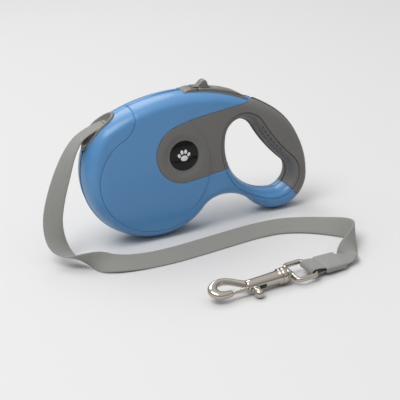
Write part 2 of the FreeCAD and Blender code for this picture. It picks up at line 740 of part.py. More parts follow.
def casing_shell():
    """The left casing half without its bosses: skin pockets, well, nozzle and tape way."""
    inner = casing_half(size("wall"))
    shell = casing_half(0).cut(inner)
    deep = casing_half(0).cut(casing_half(size("skin") + size("skin_gap")))
    for region in (front_region(size("seam_gap")), grip_region()):
        shell = shell.cut(deep.common(prism(region, -FAR, FAR)))
    shell = shell.cut(nozzle_prism(size("seam_gap")))
    return shell.cut(control_well(0.1))


def left_extras():
    """The left half's own bosses, trimmed to the hollow of the casing."""
    seat = -size("drum_thickness") / 2 + 0.8
    posts = [boss(p, seat, 0) for p in boss_places()]
    stop = -(reel_left() + size("side_gap") + size("washer_thickness"))
    posts.append(rod(drum + Vector(0, seat, 0), drum + Vector(0, stop, 0), 7))
    return posts[0].multiFuse(posts[1:])


def make_casings():
    shell = casing_shell()
    lump = casing_half(size("skin") + size("skin_gap"))
    reach = 2 * half
    left = shell.fuse(left_extras().common(lump))
    screw = size("screw_radius")
    for p in boss_places():
        left = left.cut(rod(p + Vector(0, screw_end() - 0.3, 0), p, screw + 0.01))
    left = left.cut(rod(drum - Vector(0, size("drum_thickness") / 2 - size("wall"), 0),
                        drum, size("axle_radius") + 0.01))
    pawl_bore = rod(pawl_pivot - Vector(0, pawl_pin_reach(), 0), pawl_pivot,
                    size("pin_radius") + 0.01)
    left = left.cut(pawl_bore)
    left = left.cut(box(-reach, reach, -size("skin_gap"), reach, -reach, reach))
    feature(left, "left_casing")

    posts = [boss(p, -size("drum_thickness") / 2 + 0.8, 0) for p in boss_places()]
    right = shell.fuse(posts[0].multiFuse(posts[1:]).common(lump))
    for p in boss_places():
        right = right.cut(rod(p - Vector(0, 30, 0), p, screw + 0.3))
        right = right.cut(rod(p - Vector(0, 30, 0), p - Vector(0, size("screw_seat"), 0),
                              size("screw_head_radius") + 0.2))
    right = right.cut(pawl_bore)
    right = right.cut(box(-reach, reach, -size("skin_gap"), reach, -reach, reach))
    feature(mirrored(right), "right_casing")


def screw_end():
    return size("screw_seat") - size("screw_length")


def make_screws():
    screws = []
    for p in boss_places():
        seat = p + Vector(0, size("screw_seat"), 0)
        shank = rod(p + Vector(0, screw_end(), 0), seat, size("screw_radius"))
        head = rod(seat, seat + Vector(0, size("screw_head_height"), 0), size("screw_head_radius"))
        cross = Part.makeBox(3.2, 1.6, 0.8).translated(
            seat + Vector(-1.6, size("screw_head_height") - 1.2, -0.4))
        screws.append(shank.fuse(head).cut(cross))
    feature(Part.makeCompound(screws), "casing_screws")


def make_covers():
    """The front cover, grip cover and badge of each side."""
    reach = 2 * half
    plane = box(-reach, reach, -size("skin_gap"), reach, -reach, reach)
    front = skin(front_region()).cut(plane)
    grip = skin(grip_region()).cut(plane)
    face = -size("drum_thickness") / 2
    spot = flat(size("badge_x"), size("badge_height"))
    dish = rod(spot + Vector(0, face - 1, 0), spot + Vector(0, face + size("dish_depth"), 0),
               size("dish_radius"))
    seat = rod(spot + Vector(0, face - 1, 0), spot + Vector(0, face + size("skin"), 0),
               size("badge_radius") + size("seam_gap"))
    grip = grip.cut(dish).cut(seat)
    dome_radius = (size("badge_radius") ** 2 + size("badge_rise") ** 2) / (2 * size("badge_rise"))
    base = face + size("skin") - size("badge_rise")
    badge = rod(spot + Vector(0, base - 3, 0), spot + Vector(0, face + size("skin"), 0),
                size("badge_radius"))
    ball = Part.makeSphere(dome_radius, spot + Vector(0, base - size("badge_rise") + dome_radius
                                                      + size("dish_depth"), 0))
    badge = badge.common(ball)
    for name, shape in (("front_cover", front), ("grip_cover", grip), ("badge", badge)):
        feature(shape, "left_" + name)
        feature(mirrored(shape), "right_" + name)


# ---------------------------------------------------------------- snap hook

snap_origin = Vector(size("snap_x"), size("snap_y"), size("snap_height"))
snap_turn = Rotation(Vector(0, 0, 1), size("snap_turn"))
snap_place = Placement(snap_origin, snap_turn.multiply(
    Rotation(Vector(1, 0, 0), size("snap_tilt"))))
eye_place = Placement(snap_origin, snap_turn.multiply(
    Rotation(Vector(1, 0, 0), size("eye_tilt"))))
hook_path = [(-28, 0.6), (-34, 5.0), (-40, 9.4), (-45.5, 11.0), (-51, 9.6), (-55.0, 4.9),
             (-53.2, -0.4), (-48.2, -2.3), (-43.3, -2.2)]
slot_front = -28.1


def make_snap_hook():
    """Barrel, collar and open hook of the snap, in one casting. Local x is the snap's axis."""
    length, radius = size("barrel_length"), size("barrel_radius")
    barrel = Part.makeCone(size("barrel_tip_radius"), radius, length - 2,
                           Vector(-length, 0, 0), Vector(1, 0, 0))
    collar = rod(Vector(-4, 0, 0), Vector(0, 0, 0), size("collar_radius"))
    curve = Part.BSplineCurve()
    curve.interpolate([Vector(x, y, 0) for x, y in hook_path])
    start = Part.Wire(Part.makeCircle(size("hook_wire_radius"), Vector(*hook_path[0], 0),
                                      curve.tangent(0)[0]))
    hook = Part.Wire(curve.toShape()).makePipeShell([start], True, False)
    snap = barrel.fuse([collar, hook])
    offset = size("bolt_offset")
    bolt_bore = rod(Vector(-length - 1, -offset, 0), Vector(-9.6, -offset, 0),
                    size("bolt_radius") + size("running_gap"))
    in_front = rod(Vector(-42.9, -offset, 0), Vector(-length, -offset, 0),
                   size("bolt_radius") + 0.35)
    slot = box(slot_front, slot_front + size("bolt_travel") + 3.8, -radius - 3, -offset, -1.8, 1.8)
    stem_bore = rod(Vector(-4, 0, 0), Vector(1, 0, 0), size("stem_radius") + size("running_gap"))
    chamber = rod(Vector(-8.2, 0, 0), Vector(-4, 0, 0), size("stem_radius") + 1.3)
    feature(snap.cut([bolt_bore, in_front, slot, stem_bore, chamber]), "snap_hook", snap_place)


def make_snap_bolt():
    """The sliding bolt with its thumb knob."""
    offset = size("bolt_offset")
    post_x = slot_front + 1.9
    tail = Vector(-18, -offset, 0)
    bolt = rod(Vector(-42.6, -offset, 0), tail, size("bolt_radius"))
    post = rod(Vector(post_x, -offset, 0), Vector(post_x, -9.2, 0), 1.5)
    knob = Part.makeSphere(size("knob_radius"), Vector(post_x, -9.6, 0))
    # the tail is hollow, so that it can slide over its spring
    hollow = rod(tail - Vector(11.5, 0, 0), tail, size("bolt_radius") - 0.5)
    feature(bolt.fuse([post, knob]).cut(hollow), "snap_bolt", snap_place)


def make_bolt_spring():
    """The coil behind the bolt, as long as it is with the bolt drawn back."""
    wire = 0.2
    start = Vector(-19.8, -size("bolt_offset"), 0)
    length = 9.8
    shape = coil(size("bolt_radius") - 0.5 - wire - 0.2, wire, length, 8, start,
                 Rotation(Vector(0, 1, 0), 90))
    feature(shape, "bolt_spring", snap_place.multiply(shape.Placement))


def make_swivel_eye():
    """The D-shaped eye with the stem that the snap turns on."""
    wire = size("eye_wire_radius")
    side = size("eye_inner_width") / 2 + wire
    base_x, bar_x = 4.6, size("eye_length")
    bend = 3.0
    points = [Vector(base_x, -side, 0), Vector(base_x, side, 0), Vector(bar_x, side, 0),
              Vector(bar_x, -side, 0)]
    loop = rounded_loop(points, bend)
    start = (points[0] + points[1]) * 0.5
    section = Part.Wire(Part.makeCircle(wire, start, Vector(0, 1, 0)))
    ring = loop.makePipeShell([section], True, True)
    stem = rod(Vector(-6.8, 0, 0), Vector(base_x, 0, 0), size("stem_radius"))
    head = rod(Vector(-7.4, 0, 0), Vector(-4.6, 0, 0), size("stem_radius") + 1.0)
    hub = Part.makeCone(size("collar_radius") - 0.6, wire + 0.4, 4.2, Vector(0.5, 0, 0),
                        Vector(1, 0, 0))
    feature(ring.fuse([stem, head, hub]), "swivel_eye", eye_place)


def rounded_loop(points, radius):
    """A closed wire through corner points with each corner rounded, starting mid-side."""
    edges = []
    count = len(points)
    middle = (points[0] + points[1]) * 0.5
    last = middle
    for i in range(1, count + 1):
        before, here, after = points[i - 1], points[i % count], points[(i + 1) % count]
        first = towards(here, before, radius)
        second = towards(here, after, radius)
        bend = here + ((before - here).normalize() + (after - here).normalize()) * radius
        edges.append(line(last, first))
        edges.append(Part.Arc(first, towards(bend, here, radius), second).toShape())
        last = second
    edges.append(line(last, middle))
    return Part.Wire(edges)


# The tape's own end turns a little in the plane of the eye, which lies flatter than the hook.
eye_bar = Vector(size("eye_length"), 0, 0)
end_turn = Rotation(Vector(0, 0, 1), size("sleeve_turn")).multiply(
    Rotation(Vector(0, 1, 0), size("sleeve_pitch")))
end_place = eye_place.multiply(Placement(eye_bar, end_turn))


def make_tape_loop():
    """The tape folded round the eye's bar and back into the sleeve."""
    inner = size("eye_wire_radius") + 0.3
    outer = inner + size("tape_thickness")
    side = size("tape_width") / 2
    # the fold lies askew on the bar, so it reaches past the bar's middle
    fold = -side * math.tan(math.radians(size("sleeve_turn"))) - 0.2
    shapes = []
    for radius, end in ((outer, size("loop_length")), (inner, size("loop_length") + 1)):
        ring = rod(Vector(fold, -side, 0), Vector(fold, side, 0), radius)
        shapes.append(ring.fuse(box(fold, end, -side, side, -radius, radius)))
    feature(shapes[0].cut(shapes[1]), "tape_loop", end_place)


def make_tape_sleeve():
    """The moulded sleeve that clamps the tape's fold."""
    start = size("loop_length")
    end = start + size("sleeve_length")
    width, thick = size("sleeve_width") / 2, size("sleeve_thickness") / 2
    sleeve = box(start, end, -width, width, -thick, thick)
    edges = [e for e in sleeve.Edges if e.BoundBox.XLength > size("sleeve_length") - 1]
    feature(sleeve.makeFillet(1.6, edges), "tape_sleeve", end_place)


# ---------------------------------------------------------------- tape

# The free tape lies where it was put down. It is a round tube of the tape's own section area.
SLOT_ON_ROUTE = Vector(-71, 0, 96)
HANGING_POINTS = 10  # how many points of the route move with the slot
ROUTE = [
    (-71, 0, 96), (-88, 0, 91.8), (-99, -0.5, 79.5), (-107, -1.5, 64), (-115, -3, 46.5),
    (-121, -6, 29), (-121, -13, 13), (-115, -27, 4.5), (-104, -42, 3.5), (-89, -53, 3.8),
    (-67, -57, 4), (-44, -57.6, 4), (-21, -55, 4), (2, -52, 4), (24, -49.3, 4), (44, -50.2, 4.2),
    (61, -57.5, 4.6), (73, -70, 5.4), (80, -85, 7), (82, -97, 8), (79.5, -108, 8),
    (71, -119.5, 7.4),
]
TAPE_LEAD = 6.0  # the tape leaves the sleeve straight for this distance


def make_leash_tape():
    mouth = size("loop_length") + size("sleeve_length")
    shift = slot_centre - SLOT_ON_ROUTE
    points = [Vector(*p) for p in ROUTE]
    points[:HANGING_POINTS] = [p + Vector(shift.x, 0, 0) for p in points[:HANGING_POINTS]]
    points.append(end_place.multVec(Vector(mouth + TAPE_LEAD, 0, 0)))
    points.append(end_place.multVec(Vector(mouth, 0, 0)))
    radius = math.sqrt(size("tape_width") * size("tape_thickness") / math.pi)
    edges = []
    radii = []
    last = points[0]
    for before, here, after in zip(points, points[1:], points[2:]):
        into, out = here - before, after - here
        shorter = min(into.Length, out.Length)
        half_turn = into.getAngle(out) / 2
        bend = 0.45 * shorter / math.tan(half_turn)
        radii.append(bend)
        first = towards(here, before, 0.45 * shorter)
        second = towards(here, after, 0.45 * shorter)
        inward = (second - here).normalize() + (first - here).normalize()
        centre = here + inward.normalize() * (bend / math.cos(half_turn))
        edges.append(line(last, first))
        edges.append(Part.Arc(first, towards(centre, here, bend), second).toShape())
        last = second
    edges.append(line(last, points[-1]))
    path = Part.Wire(edges)
    section = Part.Wire(Part.makeCircle(radius, points[0], points[1] - points[0]))
    tube = path.makePipeShell([section], True, False)
    print("tape arc radii", [round(r, 1) for r in radii])
    print("tape tube length", round(path.Length, 1), "volume over section times length",
          round(tube.Volume / (math.pi * radius ** 2 * path.Length), 4))
    feature(tube, "leash_tape")


def make_inner_tape():
    """The straight run inside the casing, from the wound tape to the slot."""
    radius = pack_radius() + 0.3 + size("tape_thickness") / 2
    end = slot_centre + flat(0.6, 0.15)
    gap = end - drum
    angle = math.degrees(math.atan2(gap.z, gap.x) - math.acos(radius / gap.Length))
    start = polar(drum, radius, angle)
    run = end - start
    strip = Part.makeBox(run.Length, size("tape_width"), size("tape_thickness"),
                         Vector(0, -size("tape_width") / 2, -size("tape_thickness") / 2))
    lean = math.degrees(math.atan2(run.z, run.x))
    feature(strip, "inner_tape", Placement(start, Rotation(Vector(0, 1, 0), -lean)))


# ---------------------------------------------------------------- build, check and write

for make in (make_casings, make_screws, make_covers, make_nozzle, make_control_tray,
             make_brake_lever, make_lock_slider, make_brake_pawl, make_pins, make_brake_spring,
             make_reel_hub, make_reel_flange, make_tape_pack, make_spring_case,
             make_power_spring, make_axle, make_inner_tape, make_leash_tape, make_tape_loop,
             make_tape_sleeve, make_swivel_eye, make_snap_hook, make_snap_bolt,
             make_bolt_spring):
    make()
doc.recompute()

for obj in doc.Objects:
    faults = [state for state in obj.State if state in ("Invalid", "Error")]
    if faults:
        raise RuntimeError(f"{obj.Label} is in state {faults}")
for name, obj in SUBPARTS.items():
    shape = obj.Shape
    if shape.isNull() or not shape.isValid() or not shape.Solids:
        raise RuntimeError(f"{name} has no valid solid")
    print(f"{name:16s} solids {len(shape.Solids)}  volume {shape.Volume / 1000:8.3f} cm3")

os.makedirs("parts", exist_ok=True)
for name, obj in SUBPARTS.items():
    obj.Shape.exportStep(os.path.join("parts", name + ".step"))
print(len(SUBPARTS), "nodes written")
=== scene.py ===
# %% [markdown]
# # A retractable tape leash
#
# The mechanism and its exact sizes come from the CAD model. This script gives it the skin that
# people see: softly rounded shells, a woven tape, a cast snap hook and their materials.
# All shapes are worked out in millimetres and turned into metres when a mesh is made.

# %%
import math

import bmesh
import bpy
import numpy as np
from mathutils import Matrix, Vector
from mathutils.geometry import delaunay_2d_cdt


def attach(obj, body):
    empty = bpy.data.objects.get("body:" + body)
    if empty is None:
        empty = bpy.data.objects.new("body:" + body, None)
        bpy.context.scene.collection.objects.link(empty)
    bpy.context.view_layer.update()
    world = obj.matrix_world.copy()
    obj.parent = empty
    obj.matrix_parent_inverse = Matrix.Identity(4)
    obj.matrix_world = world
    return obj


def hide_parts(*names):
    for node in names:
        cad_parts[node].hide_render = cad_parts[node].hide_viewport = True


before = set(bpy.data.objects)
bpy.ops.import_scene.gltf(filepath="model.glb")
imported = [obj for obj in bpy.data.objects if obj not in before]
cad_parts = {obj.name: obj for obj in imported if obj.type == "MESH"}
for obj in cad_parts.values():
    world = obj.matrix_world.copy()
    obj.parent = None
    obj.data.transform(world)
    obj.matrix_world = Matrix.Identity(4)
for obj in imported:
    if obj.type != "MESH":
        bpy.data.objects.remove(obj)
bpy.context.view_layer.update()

MM = 0.001

# %% [markdown]
# ## Small helpers
#
# Plane geometry is done in the XZ plane, the plane of the casing's side view, with a point as a
# numpy pair (x, z). An angle is in degrees, anticlockwise as seen from the left side (-Y).


# %%
def pair(x, z):
    return np.array([x, z], float)


def heading(start, end):
    """The direction from one point to another."""
    return math.degrees(math.atan2(end[1] - start[1], end[0] - start[0]))


def unit(degrees):
    a = np.radians(degrees)
    return np.stack([np.cos(a), np.sin(a)], axis=-1)


def spun(degrees, axis):
    return Matrix.Rotation(math.radians(degrees), 4, axis)


def meet(centre_a, radius_a, centre_b, radius_b, side):
    """One of the two points where two circles cross."""
    gap = centre_b - centre_a
    length = np.linalg.norm(gap)
    along = (radius_a ** 2 - radius_b ** 2 + length ** 2) / (2 * length)
    away = math.sqrt(radius_a ** 2 - along ** 2)
    gap = gap / length
    return centre_a + gap * along + pair(-gap[1], gap[0]) * (away * side)


def smoothstep(low, high, value):
    t = np.clip((value - low) / (high - low), 0, 1)
    return t * t * (3 - 2 * t)


def arc_points(centre, radius, start, end, step):
    """Points along an arc without its last one, and their directions away from the centre."""
    count = max(2, math.ceil(abs(math.radians(end - start)) * radius / step))
    away = unit(np.linspace(start, end, count + 1)[:-1])
    return centre + radius * away, away


def distance(points, curve):
    """How far each point lies from a polyline."""
    a, b = curve[:-1], curve[1:]
    step = b - a
    length2 = np.maximum((step ** 2).sum(1), 1e-12)
    nearest = np.full(len(points), np.inf)
    for first in range(0, len(points), 2000):
        part = points[first:first + 2000]
        gap = part[:, None, :] - a[None]
        t = np.clip((gap * step[None]).sum(2) / length2, 0, 1)
        off = gap - t[..., None] * step[None]
        nearest[first:first + 2000] = np.sqrt((off ** 2).sum(2)).min(1)
    return nearest


def inside(points, polygon):
    """Whether each point lies inside a closed polygon."""
    x, z = points[:, 0], points[:, 1]
    odd = np.zeros(len(points), bool)
    for (x0, z0), (x1, z1) in zip(polygon, np.roll(polygon, -1, axis=0)):
        if z0 == z1:
            continue
        crosses = (z0 > z) != (z1 > z)
        odd ^= crosses & (x < (x1 - x0) * (z - z0) / (z1 - z0) + x0)
    return odd


def running_length(points):
    """The distance along a row of points, at each of them."""
    return np.concatenate([[0], np.cumsum(np.linalg.norm(np.diff(points, axis=0), axis=1))])


def word_for(side):
    """The side's name: side is -1 for the left and 1 for the right, here and below."""
    return "left" if side < 0 else "right"


def link_in(name, data):
    """A new object in the scene."""
    obj = bpy.data.objects.new(name, data)
    bpy.context.scene.collection.objects.link(obj)
    return obj


def new_object(name, vertices, faces, smooth=True):
    """A mesh object from points in millimetres."""
    mesh = bpy.data.meshes.new(name)
    mesh.from_pydata([tuple(float(c) * MM for c in v) for v in vertices], [], faces)
    mesh.polygons.foreach_set("use_smooth", [smooth] * len(mesh.polygons))
    mesh.update()
    return link_in(name, mesh)


def ring_faces(count, total, closed=False):
    """Faces through total rings of count points, capped unless the last ring joins the first."""
    faces = []
    for i in range(total if closed else total - 1):
        a, b = i * count, (i + 1) % total * count
        for j in range(count):
            after = (j + 1) % count
            faces.append((a + j, a + after, b + after, b + j))
    if not closed:
        faces.append(tuple(range(count))[::-1])
        faces.append(tuple((total - 1) * count + j for j in range(count)))
    return faces


def face_outward(obj, sharp=35):
    """Turns every face outward and keeps edges crisp where faces meet at a steep angle."""
    bm = bmesh.new()
    bm.from_mesh(obj.data)
    bmesh.ops.recalc_face_normals(bm, faces=bm.faces)
    bm.to_mesh(obj.data)
    bm.free()
    obj.data.set_sharp_from_angle(angle=math.radians(sharp))
    return obj


def face_side(obj, side):
    """Turns an open skin so that it looks to its own side of the leash."""
    if obj.data.polygons[0].normal.y * side < 0:
        obj.data.flip_normals()
    return obj


def dress(obj, body, material, slot, *nodes):
    """Gives a piece its body, its material and the CAD nodes that it stands for."""
    obj.data.materials.clear()
    obj.data.materials.append(material)
    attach(obj, body)
    if nodes:
        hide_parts(*nodes)
    return obj


# %% [markdown]
# ## Materials
#
# Every finish is a Principled shader with a little procedural grain, so nothing is a flat colour.
# The grain reads Object coordinates, which are metres in the frame that all the pieces share.


# %%
def set_inputs(tree, node, inputs):
    """Sets a node's inputs by name; each is a value or another node's output."""
    for name, value in inputs.items():
        if isinstance(value, bpy.types.NodeSocket):
            tree.links.new(value, node.inputs[name])
        else:
            node.inputs[name].default_value = value


def add_node(tree, kind, inputs, **settings):
    """A new shader node with its settings and inputs."""
    node = tree.nodes.new("ShaderNode" + kind)
    for name, value in settings.items():
        setattr(node, name, value)
    set_inputs(tree, node, inputs)
    return node


def finish_material(name, colour, roughness, metallic=0.0, coat=0.0, grain=0.0, grain_size=900.0,
                    tint=0.0):
    """A plain finish with a fine bump, and with a slow change of tint where asked for."""
    material = bpy.data.materials.new(name)
    material.use_nodes = True
    tree = material.node_tree
    shader = tree.nodes["Principled BSDF"]
    set_inputs(tree, shader, {"Base Color": (*colour, 1), "Roughness": roughness,
                              "Metallic": metallic, "Coat Weight": coat, "Coat Roughness": 0.12})
    place = add_node(tree, "TexCoord", {}).outputs["Object"]
    if grain:
        noise = add_node(tree, "TexNoise", {"Scale": grain_size, "Detail": 3, "Vector": place})
        bump = add_node(tree, "Bump", {"Strength": grain, "Distance": 0.0002,
                                       "Height": noise.outputs["Fac"]})
        set_inputs(tree, shader, {"Normal": bump.outputs["Normal"]})
    if tint:
        cloud = add_node(tree, "TexNoise", {"Scale": 45, "Vector": place})
        darker = (*[c * (1 - tint) for c in colour], 1)
        lighter = (*[min(1, c * (1 + tint)) for c in colour], 1)
        mix = add_node(tree, "Mix", {"A": darker, "B": lighter, "Factor": cloud.outputs["Fac"]},
                       data_type="RGBA")
        set_inputs(tree, shader, {"Base Color": mix.outputs["Result"]})
    return material


blue = finish_material("blue shell", (0.076, 0.242, 0.49), 0.40, coat=0.30, grain=0.06)
grey = finish_material("grey soft grip", (0.145, 0.142, 0.134), 0.55, grain=0.22,
                       grain_size=1600, tint=0.04)
trim = finish_material("grey trim", (0.16, 0.157, 0.149), 0.36, grain=0.08)
# near black: painted shade, laid as thin sheets over the slots, the sleeve's mouth and the nose's
# small hole
painted_shade = finish_material("dark recess", (0.02, 0.02, 0.02), 0.7, grain=0.1)
black = finish_material("black badge", (0.005, 0.005, 0.006), 0.14, coat=0.12, grain=0.01)
black.node_tree.nodes["Principled BSDF"].inputs["Specular IOR Level"].default_value = 0.2
print_silver = finish_material("badge print", (0.72, 0.72, 0.72), 0.35, grain=0.02)
nickel = finish_material("nickel plate", (0.50, 0.46, 0.41), 0.13, metallic=1.0, grain=0.05,
                         grain_size=500)
steel = finish_material("plain steel", (0.42, 0.42, 0.43), 0.32, metallic=1.0, grain=0.1)
natural = finish_material("natural nylon", (0.62, 0.61, 0.56), 0.45, grain=0.08)
sleeve_grey = finish_material("sleeve", (0.26, 0.26, 0.252), 0.5, grain=0.12, tint=0.03)
lever_pad = finish_material("lever pad", (0.19, 0.187, 0.178), 0.45, grain=0.12)
# near black: painted shade in the grip's shallow dimples
dimple_shade = finish_material("dimple_shade", (0.035, 0.035, 0.035), 0.6, grain=0.1)

# %% [markdown]
# ## Outline of the casing
#
# The side view is a chain of tangent arcs: the drum, a hollow neck made of two arcs, the heel,
# the back of the handle and one long arc over the top, joined to the drum by a short brow.

# %%
HALF_LENGTH = 93.5
DRUM_R, HEEL_R, BACK_R, BROW_R = 56.0, 28.0, 65.9, 25.0
drum = pair(-HALF_LENGTH + DRUM_R, DRUM_R)
heel = pair(HALF_LENGTH - HEEL_R, HEEL_R)
back = pair(HALF_LENGTH - BACK_R, 31.0)
TOP_X, TOP_Z = -14.2, 111.2
rise = back[1] - TOP_Z
TOP_R = (BACK_R ** 2 - (back[0] - TOP_X) ** 2 - rise ** 2) / (2 * (rise + BACK_R))
top = pair(TOP_X, TOP_Z - TOP_R)
brow = meet(top, TOP_R - BROW_R, drum, DRUM_R - BROW_R, 1)
crown = pair(16.0, 21.6)


def on_long_arc(x):
    """The point of the casing's top line at a given x."""
    return pair(x, top[1] + math.sqrt(TOP_R ** 2 - (x - top[0]) ** 2))


def arch_radius(circle, radius):
    """The radius of the arc from a circle that stands on the floor to the neck's crown."""
    return ((circle[0] - crown[0]) ** 2 + (circle[1] - crown[1]) ** 2 - radius ** 2) / (
        2 * crown[1])


arch_front_r, arch_back_r = arch_radius(drum, DRUM_R), arch_radius(heel, HEEL_R)
arch_front, arch_back = crown - pair(0, arch_front_r), crown - pair(0, arch_back_r)

CASING_ARCS = [
    (drum, DRUM_R, heading(drum, brow), 360 + heading(drum, arch_front), 1),
    (arch_front, arch_front_r, heading(arch_front, drum), 90, -1),
    (arch_back, arch_back_r, 90, heading(arch_back, heel), -1),
    (heel, HEEL_R, 360 + heading(heel, arch_back), 360, 1),
    (back, BACK_R, 0, heading(top, back), 1),
    (top, TOP_R, heading(top, back), heading(top, brow), 1),
    (brow, BROW_R, heading(top, brow), heading(drum, brow), 1),
]

FINGER_R, FRONT_R, RIDGE_R = 12.0, 41.5, 150.0
corner = pair(HALF_LENGTH - 17.5 - FINGER_R, 18.3 + FINGER_R)
loft = pair(HALF_LENGTH - 56.3, 67.3)
front = meet(loft, FRONT_R - FINGER_R, corner, FRONT_R - FINGER_R, 1)
ridge = meet(loft, RIDGE_R + FINGER_R, corner, RIDGE_R + FINGER_R, 1)

OPENING_ARCS = [
    (front, FRONT_R, heading(front, loft), 360 + heading(front, corner), -1),
    (corner, FINGER_R, heading(front, corner), heading(corner, ridge), -1),
    (ridge, RIDGE_R, heading(ridge, corner), heading(ridge, loft), 1),
    (loft, FINGER_R, heading(loft, ridge), heading(front, loft), -1),
]


def chain(arcs, step):
    """A closed chain of arcs as points, with the direction into the material at each."""
    points, inward = [], []
    for centre, radius, start, end, side in arcs:
        along, away = arc_points(centre, radius, start, end, step)
        points.append(along)
        inward.append(-side * away)
    return np.concatenate(points), np.concatenate(inward)


# %% [markdown]
# ## Seams
#
# A band wraps the front of the drum. A grey insert runs round the badge, widens into the grip
# and ends at a slanting joint above the heel.

# %%
BAND_R = DRUM_R - 8.0
TURN_R, BEND_R = 38.0, 19.5
TURN_START, BEND_START, BEND_END = 215, 115.2, 14
band_exit = pair(drum[0] + 0.35 * DRUM_R, 0)
band_exit[1] = drum[1] - math.sqrt(BAND_R ** 2 - (band_exit[0] - drum[0]) ** 2)
turn = drum + (BAND_R - TURN_R) * unit(TURN_START)
bend = turn + (TURN_R + BEND_R) * unit(BEND_START)
INSERT_R, INSERT_START, INSERT_END = 23.0, 108, 268
insert = pair(-14.6, 65.3)
tip = on_long_arc(51.5)


def bezier(a, b, c, count):
    """A curve from a to c that leaves and arrives in the direction of b."""
    t = np.linspace(0, 1, count)[:, None]
    return (1 - t) ** 2 * a + 2 * t * (1 - t) * b + t ** 2 * c


def band_seam(step):
    """From below the drum, round its front and up to the top of the casing."""
    first, _ = arc_points(drum, BAND_R, heading(drum, band_exit), TURN_START - 360, step)
    second, _ = arc_points(turn, TURN_R, TURN_START, BEND_START, step)
    third, _ = arc_points(bend, BEND_R, BEND_START - 180, BEND_END, step)
    foot = band_exit - pair(-3.4, 11)
    head = bend + BEND_R * unit(BEND_END)
    return np.concatenate([[foot], bezier(foot, band_exit - pair(0.6, 2), band_exit, 12)[1:-1],
                           first, second, third, [head], [head + pair(0.6, 9)]])


def insert_seam(step):
    """From the top of the casing, round the badge and back to the finger opening."""
    upper = insert + INSERT_R * unit(INSERT_START)
    over = bezier(tip + pair(2.5, 0.6), pair(-1.0, 94.0), upper, 60)
    rounded, _ = arc_points(insert, INSERT_R, INSERT_START, INSERT_END, step)
    lower = insert + INSERT_R * unit(INSERT_END)
    under = bezier(lower, pair(2, 43.6), pair(31, 46.5), 40)
    return np.concatenate([over[:-1], rounded, under])


def heel_seam():
    """The slanting joint between the grip and the heel."""
    return np.linspace(pair(70.0, 23.4), pair(88.0, 1.0), 40)


band, insert_edge, heel_joint = SEAMS = [band_seam(1.0), insert_seam(1.0), heel_seam()]
FAR = 400.0
FRONT_REGION = np.concatenate([band, [pair(band[-1][0], FAR), pair(-FAR, FAR),
                                      pair(-FAR, -FAR), pair(band[0][0], -FAR)]])
GRIP_REGION = np.concatenate([insert_edge, heel_joint, [pair(FAR, 1), pair(FAR, FAR),
                                                        pair(insert_edge[0][0], FAR)]])

# %% [markdown]
# ## The height field
#
# Each half of the casing is a height over the side view: half the thickness, times a quarter
# ellipse that rolls it down to the parting plane at the rim and into the finger opening.
# The nozzle and the brake controls leave two notches in the rim.

# %%
DRUM_DEPTH, HANDLE_DEPTH = 18.0, 13.5
RIM, MOUTH_RIM = 9.0, 7.0
THINNING = (4, 47)  # x where the drum's thickness starts and stops going over to the handle's
DOME_DROP = 0.7  # how far the drum's side falls from its middle to its rim
WELL = (-7.7, 45.2)
WELL_HALF, NOZZLE_HALF = 9.0, 9.6
HEAD_POWER, FOOT_POWER = 3.4, 2.0
NOTCH_SHARE = 0.955  # the notch under the nozzle is this much shorter than the nozzle
UPPER_RIM = 60  # both notches lie above this height
nozzle_low, nozzle_high = drum + DRUM_R * unit(158.0), on_long_arc(-61.0)
nozzle_axis = (nozzle_high - nozzle_low) / np.linalg.norm(nozzle_high - nozzle_low)
nozzle_reach = np.linalg.norm(nozzle_high - nozzle_low) / 2
nozzle_middle = (nozzle_high + nozzle_low) / 2


def depth(points):
    """Half the casing's thickness, without its rounded rims."""
    thin = smoothstep(*THINNING, points[:, 0])
    dome = DOME_DROP * (np.linalg.norm(points - drum, axis=1) / DRUM_R) ** 2
    return (DRUM_DEPTH + (HANDLE_DEPTH - DRUM_DEPTH) * thin
            - np.minimum(dome, DOME_DROP) * (1 - thin))


def nozzle_station(points):
    """Where points lie along the nozzle, from -1 at its foot to 1 at its head."""
    return (points - nozzle_middle) @ nozzle_axis / (nozzle_reach * NOTCH_SHARE)


def nozzle_power(along):
    """The nozzle's outline is blunt at its head and pointed at its foot."""
    return np.where(along > 0, HEAD_POWER, FOOT_POWER)


def quarter(u):
    """A quarter ellipse: 0 at u = 0, rising steeply and flat from u = 1 on."""
    return np.sqrt(np.clip(1 - (1 - np.clip(u, 0, 1)) ** 2, 0, 1))


def notch_width(points):
    """Half the width of the notch in the rim at each outline point, or 0 where there is none."""
    upper = points[:, 1] > UPPER_RIM
    well = upper & (points[:, 0] > WELL[0]) & (points[:, 0] < WELL[1])
    along = nozzle_station(points)
    outer = upper & (points[:, 0] < -50) & (np.abs(along) < 1)
    oval = NOZZLE_HALF * np.sqrt(np.clip(1 - np.abs(along) ** nozzle_power(along), 0, 1))
    return np.where(well, WELL_HALF, np.where(outer, oval, 0.0))


def outline_with_stops(step):
    """The casing's outline, with extra points at both ends of the brake controls' well."""
    points, inward = chain(CASING_ARCS, step)
    extra = []
    for x in WELL:
        for shift in (-0.03, 0.03):
            angle = math.degrees(math.acos((x + shift - top[0]) / TOP_R))
            extra.append((top + TOP_R * unit(angle), -unit(angle)))
    for point, direction in extra:
        place = np.argmin(((points - point) ** 2).sum(1))
        after = (points[place] - point) @ (points[(place + 1) % len(points)] - points[place]) < 0
        points = np.insert(points, place + after, point, axis=0)
        inward = np.insert(inward, place + after, direction, axis=0)
    return points, inward


outline, outline_in = outline_with_stops(1.5)
opening, opening_in = chain(OPENING_ARCS, 1.2)
notch = notch_width(outline)
closed_outline = np.vstack([outline, outline[:1]])
closed_opening = np.vstack([opening, opening[:1]])
start_angle = np.arcsin(np.clip(notch / depth(outline), 0, 0.9))
edge = outline + outline_in * (RIM * (1 - np.cos(start_angle)))[:, None]


